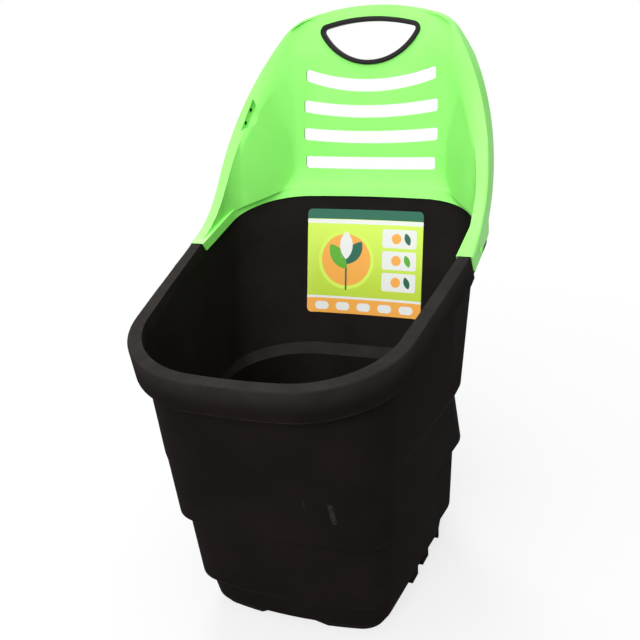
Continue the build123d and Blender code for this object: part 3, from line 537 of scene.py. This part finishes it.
def soft_creases(tree):
    """The panel's normal, eased where its flat, sides, edge strip and bevel meet."""
    forms = bpy.context.scene.trolley_forms
    flat, strip, bevel = panel_flat(), leaning(forms.strip_lean), leaning(forms.bevel_lean)
    place = axes_of(tree, object_place(tree))
    height, own = place["Z"], own_normal(tree)

    def nearness(gap, reach):
        """1 on a plane, falling to 0 at a reach from it."""
        share = math_step(tree, "DIVIDE", math_step(tree, "ABSOLUTE", gap), reach)
        return ease(tree, share, (1.0, 0.0))

    # The right side's plane, mirrored to the left by the sign of X
    ahead = height_over(tree, forms.flat_place, flat)
    slant = math.hypot(1.0, forms.side_flare)
    beyond = math_step(tree, "SUBTRACT", math_step(tree, "ABSOLUTE", place["X"]), forms.flat_half)
    flared = math_step(tree, "MULTIPLY", ahead, forms.side_flare)
    beside = math_step(tree, "DIVIDE", math_step(tree, "SUBTRACT", flared, beyond), slant)
    hand = math_step(tree, "SIGN", place["X"])
    mirror = add_node(tree, "ShaderNodeCombineXYZ", {"X": hand, "Y": 1.0, "Z": 1.0})["Vector"]
    right_side = (flat * forms.side_flare - Vector((1.0, 0.0, 0.0))) / slant
    side = vector_step(tree, "MULTIPLY", mirror, right_side)

    # The creases are rounder towards the grip, and the strip's are crisper than the rest
    wide = ease(tree, height, forms.crease_heights, forms.crease_reach)
    narrow = ease(tree, height, forms.strip_heights, forms.strip_reach)
    on_strip = nearness(height_over(tree, forms.strip_place, strip), narrow)
    crisper = math_step(tree, "SUBTRACT", narrow, wide)
    reach = math_step(tree, "MULTIPLY_ADD", on_strip, crisper, wide)

    # Each plane's normal counts by how near the surface is to it
    flared_part = ease(tree, ahead, forms.side_depths)
    shares = [
        (flat, nearness(ahead, reach)),
        (side, nearness(beside, reach)),
        (strip, on_strip),
        (bevel, nearness(height_over(tree, forms.bevel_place, bevel), reach)),
    ]
    own_share = 0.05
    total = vector_step(tree, "SCALE", own, own_share)
    for normal, near in shares:
        share = math_step(tree, "MULTIPLY", near, flared_part)
        total = vector_step(tree, "ADD", total, vector_step(tree, "SCALE", normal, share))
    eased = vector_step(tree, "NORMALIZE", total)
    agree = ease(tree, vector_step(tree, "DOT_PRODUCT", own, eased), (0.5, 0.72))
    kept = vector_step(tree, "SCALE", own, math_step(tree, "SUBTRACT", 1.0, agree))
    mixed = vector_step(tree, "ADD", kept, vector_step(tree, "SCALE", eased, agree))
    return vector_step(tree, "NORMALIZE", mixed)


# Each plastic: its two tones as shares of its colour, its gloss, its wear with a painted highlight
# on edges, a painted sheen on upward faces, dust, and what is its own
PLASTICS = {
    "bucket_finish": dict(
        colour="bucket_colour", shares=(0.86, 1.2), worn_and_sheen="bucket_worn",
        specular=0.01, rough=0.8, edges=0.5, scuffs=0.22, top_sheen=0.26, dust=0.16, fade_height=0.34,
        mark=bucket_marks,
    ),
    "panel_finish": dict(
        colour="panel_colour", deep="panel_deep", shares=(1.0, 1.0), worn_and_sheen="panel_worn",
        specular=0.15, rough=0.45, edges=0.3, scuffs=0.16, top_sheen=0.1, grain=0.8,
        film=slot_film, form=soft_creases,
    ),
    "grip_finish": dict(
        colour="grip_colour", shares=(0.85, 1.3), worn_and_sheen="bucket_worn",
        specular=0.12, rough=0.45, edges=0.4, scuffs=0.2, top_sheen=0.1, grain=1.4,
    ),
    "wheel_finish": dict(
        colour="wheel_colour", shares=(0.85, 1.25), worn_and_sheen="bucket_worn",
        specular=0.2, rough=0.5, edges=0.7, scuffs=0.5, top_sheen=0.2, dust=0.6, fade_height=0.3,
    ),
    # The tyre and the bush take the dust colour for their wear and painted sheen
    "tyre_finish": dict(
        colour="rubber_colour", shares=(0.8, 1.4), worn_and_sheen="dust_colour",
        specular=0.2, rough=0.72, edges=0.5, scuffs=0.6, top_sheen=0.1, dust=0.8, fade_height=0.4,
        grain=0.6,
    ),
    "bush_finish": dict(
        colour="bush_colour", shares=(1.0, 0.9), worn_and_sheen="dust_colour",
        specular=0.4, rough=0.42, edges=0.3, scuffs=0.3, top_sheen=0.1, dust=0.2, fade_height=0.4,
    ),
}


def moulded_plastic(
    name, colour, shares, worn_and_sheen, specular, rough, edges, scuffs, top_sheen,
    deep=None, dust=0.0, fade_height=1.0, grain=1.0, mark=None, film=None, form=None,
):
    """Moulded plastic or rubber: grain, drifting tone, rubbed edges with a painted highlight,
    scuffs, a painted sheen on upward faces, and dust.
    """
    finishes = bpy.context.scene.trolley_finishes
    material, tree, shader = new_material(name, specular)
    skin = effect(tree, moulded_grain, scale=finishes.grain_size * grain)
    soil = effect(tree, settled_dust, amount=dust, fade_height=fade_height)["Mask"]
    wear = [
        effect(tree, rubbed_edges, reach=finishes.edge_reach, amount=edges)["Mask"],
        effect(tree, handling_scuffs, amount=scuffs)["Mask"],
        effect(tree, upward_bloom, amount=top_sheen)["Mask"],
    ]
    if mark:
        wear.append(mark(tree))
    # Real wear together with the painted sheen and edge highlights
    rubbed = chain(tree, "MAXIMUM", *wear)
    sources = zip((colour, deep or colour), shares)
    tones = [Vector(getattr(finishes, source)) * share for source, share in sources]
    base = blend_colours(tree, skin["Tone"], *tones)
    base = blend_colours(tree, rubbed, base, getattr(finishes, worn_and_sheen))
    # Painted shade on the side-on faces around the slots
    if film:
        base = blend_colours(tree, film(tree), base, finishes.grime_colour)
    join(tree, blend_colours(tree, soil, base, finishes.dust_colour), shader["Base Color"])
    sheen = ease(tree, skin["Tone"], (0.0, 1.0), (rough - SMOOTHER_TONE, rough + ROUGHER_TONE))
    sheen = math_step(tree, "MULTIPLY_ADD", rubbed, RUBBED_ROUGHNESS, sheen)
    sheen = math_step(tree, "MULTIPLY_ADD", soil, SOIL_ROUGHNESS, sheen)
    join(tree, sheen, shader["Roughness"])
    normal = form(tree) if form else None
    add_bump(tree, shader, skin["Height"], finishes.grain_depth / grain, GRAIN_STRENGTH, normal)
    return material


def zinc_finish(name):
    """Zinc plated steel, drawn along the axle, dulled in patches."""
    material, tree, shader = new_material(name, specular=0.5)
    shader["Metallic"].default_value = 1.0
    base = Vector(bpy.context.scene.trolley_finishes.steel_colour)
    dull_share, drawn_roughness = 0.72, 0.1
    dull = mottle(tree, (0.4, 0.7), scale=95.0, detail=4.0, rough=0.6)
    join(tree, blend_colours(tree, dull, base, base * dull_share), shader["Base Color"])
    drawn = noise(tree, scale=900.0, detail=3.0, rough=0.6, stretch=(0.03, 1.0, 1.0))
    sheen = ease(tree, dull, (0.0, 1.0), (0.27, 0.44))
    join(tree, math_step(tree, "MULTIPLY_ADD", drawn, drawn_roughness, sheen), shader["Roughness"])
    add_bump(tree, shader, drawn, depth=0.0001, strength=0.4)
    return material


def label_finish(name):
    """Printed film: a generic garden design of bands, discs and leaves."""
    finishes = bpy.context.scene.trolley_finishes
    material, tree, shader = new_material(name, specular=0.4, coat=0.25)
    left, foot = LABEL_LOW.x, LABEL_LOW.z
    width, height = LABEL_HIGH.x - LABEL_LOW.x, LABEL_HIGH.z - LABEL_LOW.z
    warm, dark = finishes.print_warm, finishes.print_dark
    green, white = finishes.print_leaf, finishes.print_white
    paler, lighter = 1.25, 0.05
    pale_field = tuple(min(1.0, value * paler + lighter) for value in finishes.print_field)

    def patch(across, up, half_width, half_height, corner):
        """A patch placed by shares of the label's width and height, sized in metres."""
        return effect(
            tree, printed_patch, across=left + across * width, up=foot + up * height,
            half_width=half_width, half_height=half_height, corner=corner,
        )["Mask"]

    def disc(across, up, radius):
        """A round patch."""
        return patch(across, up, radius, radius, radius)

    def leaf(across, up, size, turn):
        """A pointed leaf: the overlap of two discs."""
        lean, spread = math.radians(turn), 0.62
        step = Vector((math.cos(lean), math.sin(lean))) * size * spread
        shift, rise = step.x / width, step.y / height
        halves = [disc(across + side * shift, up + side * rise, size) for side in (-1, 1)]
        return math_step(tree, "MULTIPLY", *halves)

    # Bands at the head and the foot
    bands = ((1.02, 0.02, dark), (0.885, 0.0035, white), (-0.02, 0.03, warm), (0.155, 0.002, white))
    layers = [
        (patch(across=0.5, up=up, half_width=width, half_height=half, corner=0.001), tone)
        for up, half, tone in bands
    ]
    # A disc with a stem and three leaves
    discs = ((0.05, pale_field), (0.044, warm))
    layers += [(disc(across=0.34, up=0.52, radius=radius), tone) for radius, tone in discs]
    stem = patch(across=0.34, up=0.42, half_width=0.0016, half_height=0.034, corner=0.0016)
    layers.append((stem, dark))
    leaves = (
        (0.27, 0.55, 0.032, 35.0, green),
        (0.41, 0.59, 0.03, -35.0, dark),
        (0.34, 0.66, 0.03, 0.0, white),
    )
    layers += [(leaf(across, up, size, turn), tone) for across, up, size, turn, tone in leaves]
    # Three small fields, each with a disc and a leaf
    for row, tone in ((0.74, dark), (0.535, green), (0.33, dark)):
        field = patch(across=0.8, up=row, half_width=0.03, half_height=0.0155, corner=0.004)
        layers += [(field, white), (disc(across=0.775, up=row, radius=0.0085), warm)]
        layers.append((leaf(across=0.87, up=row, size=0.0135, turn=20.0), tone))
    # A row of round fields along the foot
    first_column, column_step, columns = 0.13, 0.185, 5
    for column in range(columns):
        across = first_column + column_step * column
        field = patch(across, up=0.07, half_width=0.0125, half_height=0.007, corner=0.007)
        layers.append((field, white))

    rise = ease(tree, axes_of(tree, object_place(tree))["Z"], (foot, foot + height))
    colour = blend_colours(tree, rise, finishes.print_field, pale_field)
    for mask, tone in layers:
        colour = blend_colours(tree, mask, colour, tone)
    rub_roughness = 0.25
    rub = effect(tree, handling_scuffs, amount=0.35)["Mask"]
    join(tree, blend_colours(tree, rub, colour, white), shader["Base Color"])
    film = effect(tree, moulded_grain, scale=700.0)
    sheen = ease(tree, film["Tone"], (0.0, 1.0), (0.3, 0.4))
    join(tree, math_step(tree, "MULTIPLY_ADD", rub, rub_roughness, sheen), shader["Roughness"])
    add_bump(tree, shader, film["Height"], depth=0.0002, strength=0.12)
    return material


OTHER_FINISHES = {"zinc_finish": zinc_finish, "label_finish": label_finish}


def finish(name):
    """One of the trolley's finishes, made when it is first asked for."""
    made = bpy.data.materials.get(name)
    if made:
        return made
    if name in PLASTICS:
        return moulded_plastic(name, **PLASTICS[name])
    return OTHER_FINISHES[name](name)


def finish_nodes(nodes, name):
    """Gives CAD nodes their finish."""
    for node in nodes:
        shown = NODES[node]
        if not shown.material_slots:
            shown.data.materials.append(finish(name))
        for place in shown.material_slots:
            place.material = finish(name)


class TROLLEY_OT_bucket(Operator):
    """Finish the bucket and the clamps under it"""

    bl_idname = "trolley.bucket"
    bl_label = "Bucket"

    def execute(self, context):
        finish_nodes(("bucket", "axle_clamp_left", "axle_clamp_right"), "bucket_finish")
        return {"FINISHED"}


class TROLLEY_OT_panel(Operator):
    """Finish the handle panel"""

    bl_idname = "trolley.panel"
    bl_label = "Handle panel"

    def execute(self, context):
        finish_nodes(("handle_panel",), "panel_finish")
        return {"FINISHED"}


class TROLLEY_OT_grip(Operator):
    """Finish the grip ring round the hand opening"""

    bl_idname = "trolley.grip"
    bl_label = "Grip"

    def execute(self, context):
        finish_nodes(("grip_front", "grip_rear"), "grip_finish")
        return {"FINISHED"}


class TROLLEY_OT_label(Operator):
    """Print the label inside the rear wall"""

    bl_idname = "trolley.label"
    bl_label = "Label"

    def execute(self, context):
        finish_nodes(("label_sheet",), "label_finish")
        return {"FINISHED"}


class TROLLEY_OT_running_gear(Operator):
    """Finish the axle, its washers and retainers, and the wheels"""

    bl_idname = "trolley.running_gear"
    bl_label = "Running gear"

    def execute(self, context):
        finish_nodes(("axle",), "zinc_finish")
        for hand in HANDS:
            steel = ("inner_washer_" + hand, "outer_washer_" + hand, "axle_retainer_" + hand)
            finish_nodes(steel, "zinc_finish")
            finish_nodes(("wheel_" + hand, "hub_cap_" + hand), "wheel_finish")
            finish_nodes(("tyre_" + hand,), "tyre_finish")
            finish_nodes(("hub_bush_" + hand,), "bush_finish")
        return {"FINISHED"}


def screw_tree():
    """Geometry Nodes tree: a screw with a domed head and a cross recess on every point."""
    made = bpy.data.node_groups.get("screw_set")
    if made:
        return made
    tree = bpy.data.node_groups.new("screw_set", "GeometryNodeTree")
    tree.is_modifier = True
    add_sockets(tree, "INPUT", "Geometry", ["Geometry"])
    add_sockets(tree, "INPUT", "Float", ["Head", "Head Height", "Shank", "Shank Length", "Recess"])
    add_sockets(tree, "INPUT", "Int", ["Sides"])
    add_sockets(tree, "INPUT", "Material", ["Material"])
    add_sockets(tree, "OUTPUT", "Geometry", ["Geometry"])
    given = tree.nodes.new("NodeGroupInput").outputs
    result = tree.nodes.new("NodeGroupOutput").inputs

    def share(label, amount):
        """A share of a given size."""
        return math_step(tree, "MULTIPLY", given[label], amount)

    def lifted(mesh, rise):
        """A mesh moved up by a height."""
        lift = add_node(tree, "ShaderNodeCombineXYZ", {"Z": rise})["Vector"]
        inputs = {"Geometry": mesh, "Translation": lift}
        return add_node(tree, "GeometryNodeTransform", inputs)["Geometry"]

    def cone(top, bottom, depth, foot):
        """A cone between two radii, standing on a height."""
        inputs = {
            "Vertices": given["Sides"], "Radius Top": top, "Radius Bottom": bottom, "Depth": depth
        }
        return lifted(add_node(tree, "GeometryNodeMeshCone", inputs)["Mesh"], foot)

    def bar(across, along):
        """A bar of the cross that is cut into a head."""
        corners = {"X": across, "Y": along, "Z": given["Head Height"]}
        size = add_node(tree, "ShaderNodeCombineXYZ", corners)["Vector"]
        block = add_node(tree, "GeometryNodeMeshCube", {"Size": size})["Mesh"]
        return lifted(block, given["Head Height"])

    radius, shoulder, crown, span = (share("Head", amount) for amount in (0.5, 0.47, 0.33, 0.56))
    skirt, dome = (share("Head Height", amount) for amount in (0.55, 0.45))
    shank, tip = (share("Shank", amount) for amount in (0.5, 0.32))
    below = share("Shank Length", -1.0)
    pieces = [
        cone(shoulder, radius, skirt, 0.0),
        cone(crown, shoulder, dome, skirt),
        cone(shank, tip, given["Shank Length"], below),
    ]
    bars = [bar(span, given["Recess"]), bar(given["Recess"], span)]
    boolean = "GeometryNodeMeshBoolean"
    whole = add_node(tree, boolean, {"Mesh 2": pieces}, operation="UNION", solver="EXACT")["Mesh"]
    cuts = {"Mesh 1": whole, "Mesh 2": bars}
    screw = add_node(tree, boolean, cuts, operation="DIFFERENCE", solver="EXACT")["Mesh"]
    facing = add_node(
        tree, "GeometryNodeInputNamedAttribute", {"Name": "facing"}, data_type="FLOAT_VECTOR"
    )["Attribute"]
    turn = add_node(tree, "FunctionNodeAlignRotationToVector", {"Vector": facing}, axis="Z")
    seats = {"Points": given["Geometry"], "Instance": screw, "Rotation": turn["Rotation"]}
    placed = add_node(tree, "GeometryNodeInstanceOnPoints", seats)["Instances"]
    real = add_node(tree, "GeometryNodeRealizeInstances", {"Geometry": placed})["Geometry"]
    finished = {"Geometry": real, "Material": given["Material"]}
    join(tree, add_node(tree, "GeometryNodeSetMaterial", finished)["Geometry"], result["Geometry"])
    return tree


def screw_set(name, places, sizes, replaced):
    """Screws on places (position, facing), as one piece that stands for a CAD node."""
    seats = bpy.data.meshes.new(name)
    seats.from_pydata([position for position, _ in places], [], [])
    facing = seats.attributes.new("facing", "FLOAT_VECTOR", "POINT")
    for index, (_, way) in enumerate(places):
        facing.data[index].vector = way
    screws = bpy.data.objects.new(name, seats)
    bpy.context.collection.objects.link(screws)
    tree = screw_tree()
    modifier = screws.modifiers.new("screws", "NODES")
    modifier.node_group = tree
    for item in tree.interface.items_tree:
        if item.in_out == "INPUT" and item.name in sizes:
            modifier[item.identifier] = sizes[item.name]
    bpy.context.view_layer.update()
    evaluated = screws.evaluated_get(bpy.context.evaluated_depsgraph_get())
    made = bpy.data.meshes.new_from_object(evaluated)
    screws.modifiers.remove(modifier)
    screws.data = made
    if not made.polygons:
        raise RuntimeError(f"{name} has no faces")
    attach(screws, TROLLEY)
    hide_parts(replaced)


def seat_places(node, head_height):
    """Seat and outward direction of each screw in a CAD node, from its solids."""
    merge_reach, normal_digits = 1e-6, 3
    shape = bmesh.new()
    shape.from_mesh(NODES[node].data)
    bmesh.ops.remove_doubles(shape, verts=shape.verts, dist=merge_reach)
    left, places = dict.fromkeys(shape.verts), []
    while left:
        # One screw's points, found along its edges
        group, edge = [], [left.popitem()[0]]
        while edge:
            vertex = edge.pop()
            group.append(vertex)
            for near in (link.other_vert(vertex) for link in vertex.link_edges):
                if near in left:
                    del left[near]
                    edge.append(near)
        # Its flat ends face along it, and its head is on the side with more points
        area = {}
        for face in dict.fromkeys(face for vertex in group for face in vertex.link_faces):
            key = tuple(round(value, normal_digits) for value in face.normal)
            area[key] = area.get(key, 0.0) + face.calc_area()
        way = Vector(max(area, key=area.get)).normalized()
        reach = [vertex.co.dot(way) for vertex in group]
        middle = sum((vertex.co for vertex in group), Vector()) / len(group)
        if max(reach) - middle.dot(way) > middle.dot(way) - min(reach):
            way = -way
            reach = [-value for value in reach]
        places.append((middle + way * (max(reach) - head_height - middle.dot(way)), way))
    shape.free()
    return places


class TROLLEY_OT_fasteners(Operator):
    """Make the panel screws and the clamp screws"""

    bl_idname = "trolley.fasteners"
    bl_label = "Screws"

    def execute(self, context):
        sizes = context.scene.trolley_fasteners
        for kind, material in (("panel", "panel_finish"), ("clamp", "zinc_finish")):
            head_height = getattr(sizes, kind + "_head_height")
            screw = {
                "Head": getattr(sizes, kind + "_head"), "Head Height": head_height,
                "Shank Length": getattr(sizes, kind + "_length"), "Shank": sizes.shank,
                "Recess": sizes.recess, "Sides": sizes.sides, "Material": finish(material),
            }
            node = kind + "_screws"
            screw_set(kind + "_screw_set", seat_places(node, head_height), screw, node)
        return {"FINISHED"}


class TROLLEY_OT_sockets(Operator):
    """Make the black blind sockets that put painted shade in the notch's holes"""

    bl_idname = "trolley.sockets"
    bl_label = "Notch sockets"

    def execute(self, context):
        sizes = context.scene.trolley_sockets
        turn = Vector(sizes.facing).normalized().to_track_quat("Z", "Y")
        seat, top = sizes.seat, sizes.seat + sizes.collar_height
        foot = sizes.outside - sizes.bore - sizes.depth
        profile = [
            (0.0, foot), (sizes.bore, foot), (sizes.bore, top), (sizes.collar, top),
            (sizes.collar, seat), (sizes.outside, seat),
            (sizes.outside, -sizes.depth), (0.0, -sizes.depth),
        ]
        shape = bmesh.new()
        for hole in (sizes.lower_hole, sizes.upper_hole):
            middle = Vector(hole)
            rings = []
            for radius, height in profile:
                count = sizes.sides if radius else 1
                ring = []
                for angle in (2 * math.pi * step / count for step in range(count)):
                    point = Vector((radius * math.cos(angle), radius * math.sin(angle), height))
                    ring.append(shape.verts.new(middle + turn @ point))
                rings.append(ring)
            for inner, outer in zip(rings, rings[1:]):
                for step in range(sizes.sides):
                    ways = ((inner, step), (inner, step + 1), (outer, step + 1), (outer, step))
                    corners = [ring[index % len(ring)] for ring, index in ways]
                    shape.faces.new(list(dict.fromkeys(corners)))
        bmesh.ops.recalc_face_normals(shape, faces=shape.faces)
        mesh = bpy.data.meshes.new("notch_sockets")
        shape.to_mesh(mesh)
        shape.free()
        sockets = bpy.data.objects.new("notch_sockets", mesh)
        context.collection.objects.link(sockets)
        # The black finish is painted shade inside the holes
        mesh.materials.append(finish("grip_finish"))
        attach(sockets, TROLLEY)
        return {"FINISHED"}


def seen_directly(tree):
    """1 for camera, glossy and transmission rays."""
    rays = add_node(tree, "ShaderNodeLightPath", {})
    seen = (rays["Is Camera Ray"], rays["Is Glossy Ray"], rays["Is Transmission Ray"])
    return chain(tree, "MAXIMUM", *seen)


class TROLLEY_OT_stage(Operator):
    """Set up the camera, the lamps and the floor"""

    bl_idname = "trolley.stage"
    bl_label = "Studio"

    def execute(self, context):
        stage = context.scene.trolley_stage
        self.make_camera(context, stage)
        self.make_floor(context, stage)
        self.make_world(context, stage)
        self.make_lamps(context, stage)
        context.scene.view_settings.view_transform = "Standard"
        return {"FINISHED"}

    def make_camera(self, context, stage):
        """The photograph's viewpoint."""
        yaw, pitch, roll = stage.camera_yaw, stage.camera_pitch, stage.camera_roll
        right = Vector((math.cos(yaw), math.sin(yaw), 0.0))
        ahead = Vector(
            (-math.sin(yaw) * math.cos(pitch), math.cos(yaw) * math.cos(pitch), -math.sin(pitch))
        )
        up = right.cross(ahead)
        across = right * math.cos(roll) + up * math.sin(roll)
        above = up * math.cos(roll) - right * math.sin(roll)
        data = bpy.data.cameras.new("camera")
        data.sensor_width = SENSOR
        data.lens = stage.focal_pixels * SENSOR / IMAGE_SIDE
        data.shift_y = stage.centre_rise / IMAGE_SIDE
        camera = bpy.data.objects.new("camera", data)
        turn = Matrix((across, above, -ahead)).transposed().to_4x4()
        camera.matrix_world = Matrix.Translation(stage.camera_place) @ turn
        context.collection.objects.link(camera)
        context.scene.camera = camera

    def make_floor(self, context, stage):
        """A pale round floor that keeps a soft shadow."""
        shape = bmesh.new()
        bmesh.ops.create_circle(
            shape, cap_ends=True, segments=stage.floor_sides, radius=stage.floor_radius
        )
        mesh = bpy.data.meshes.new("floor")
        shape.to_mesh(mesh)
        shape.free()
        floor = bpy.data.objects.new("floor", mesh)
        context.collection.objects.link(floor)
        material = bpy.data.materials.new("pale_floor")
        material.use_nodes = True
        tree = material.node_tree
        tree.nodes.remove(tree.nodes["Principled BSDF"])
        speckle = mottle(tree, (0.3, 0.7), scale=40.0, detail=3.0, rough=0.5)
        pale, speckle_share = Vector(stage.floor_colour), 0.985
        colour = blend_colours(tree, speckle, pale, pale * speckle_share)
        matte = add_node(tree, "ShaderNodeBsdfDiffuse", {"Color": colour})["BSDF"]
        white = add_node(tree, "ShaderNodeEmission", {})["Emission"]
        reach = vector_step(tree, "LENGTH", object_place(tree))
        lift = ease(tree, reach, stage.floor_fade, (stage.floor_lift, 1.0))
        share = math_step(tree, "MULTIPLY", seen_directly(tree), lift)
        mixed = add_node(tree, "ShaderNodeMixShader", {"Fac": share, 1: matte, 2: white})["Shader"]
        join(tree, mixed, tree.nodes["Material Output"].inputs["Surface"])
        mesh.materials.append(material)

    def make_world(self, context, stage):
        """Even surrounding light, seen as white."""
        world = bpy.data.worlds.new("studio")
        context.scene.world = world
        world.use_nodes = True
        tree = world.node_tree
        ground = tree.nodes["Background"].inputs
        ground["Color"].default_value = (1.0, 1.0, 1.0, 1.0)
        strength = ease(tree, seen_directly(tree), (0.0, 1.0), (stage.ambient, 1.0))
        join(tree, strength, ground["Strength"])

    def make_lamps(self, context, stage):
        """Large soft lamps, aimed at the trolley's middle."""
        middle = (CAD_LOW + CAD_HIGH) / 2
        for name, (place, size) in LAMPS.items():
            data = bpy.data.lights.new(name + "_lamp", "AREA")
            data.shape = "DISK"
            data.size = size
            data.energy = getattr(stage, name + "_power")
            lamp = bpy.data.objects.new(name + "_lamp", data)
            lamp.location = place
            lamp.rotation_euler = (middle - Vector(place)).to_track_quat("-Z", "Y").to_euler()
            context.collection.objects.link(lamp)


class TROLLEY_PT_sidebar(Panel):
    """Lists the trolley's pieces and their settings"""

    bl_idname = "TROLLEY_PT_sidebar"
    bl_label = "Garden trolley"
    bl_space_type = "VIEW_3D"
    bl_region_type = "UI"
    bl_category = "Trolley"

    def draw(self, context):
        for operator in OPERATORS:
            self.layout.operator(operator.bl_idname)
        for name in SETTINGS:
            box = self.layout.box()
            group = getattr(context.scene, name)
            for item in group.bl_rna.properties:
                if item.identifier not in ("rna_type", "name"):
                    box.prop(group, item.identifier)


OPERATORS = (
    TROLLEY_OT_stage,
    TROLLEY_OT_bucket,
    TROLLEY_OT_panel,
    TROLLEY_OT_grip,
    TROLLEY_OT_label,
    TROLLEY_OT_running_gear,
    TROLLEY_OT_fasteners,
    TROLLEY_OT_sockets,
)
SETTINGS = {
    "trolley_finishes": TrolleyFinishes,
    "trolley_forms": TrolleyForms,
    "trolley_fasteners": TrolleyFasteners,
    "trolley_sockets": TrolleySockets,
    "trolley_stage": TrolleyStage,
}


def register():
    """Registers the settings, the operators and the panel."""
    for name, group in SETTINGS.items():
        bpy.utils.register_class(group)
        setattr(bpy.types.Scene, name, PointerProperty(type=group))
    for operator in OPERATORS:
        bpy.utils.register_class(operator)
    bpy.utils.register_class(TROLLEY_PT_sidebar)


def unregister():
    """Takes away what register added."""
    bpy.utils.unregister_class(TROLLEY_PT_sidebar)
    for operator in reversed(OPERATORS):
        bpy.utils.unregister_class(operator)
    for name, group in SETTINGS.items():
        delattr(bpy.types.Scene, name)
        bpy.utils.unregister_class(group)


def main():
    """Builds the trolley's looks in order."""
    register()
    bpy.ops.trolley.stage()
    bpy.ops.trolley.bucket()
    bpy.ops.trolley.panel()
    bpy.ops.trolley.grip()
    bpy.ops.trolley.label()
    bpy.ops.trolley.running_gear()
    bpy.ops.trolley.fasteners()
    bpy.ops.trolley.sockets()
    bpy.context.view_layer.update()


if __name__ == "__main__":
    main()
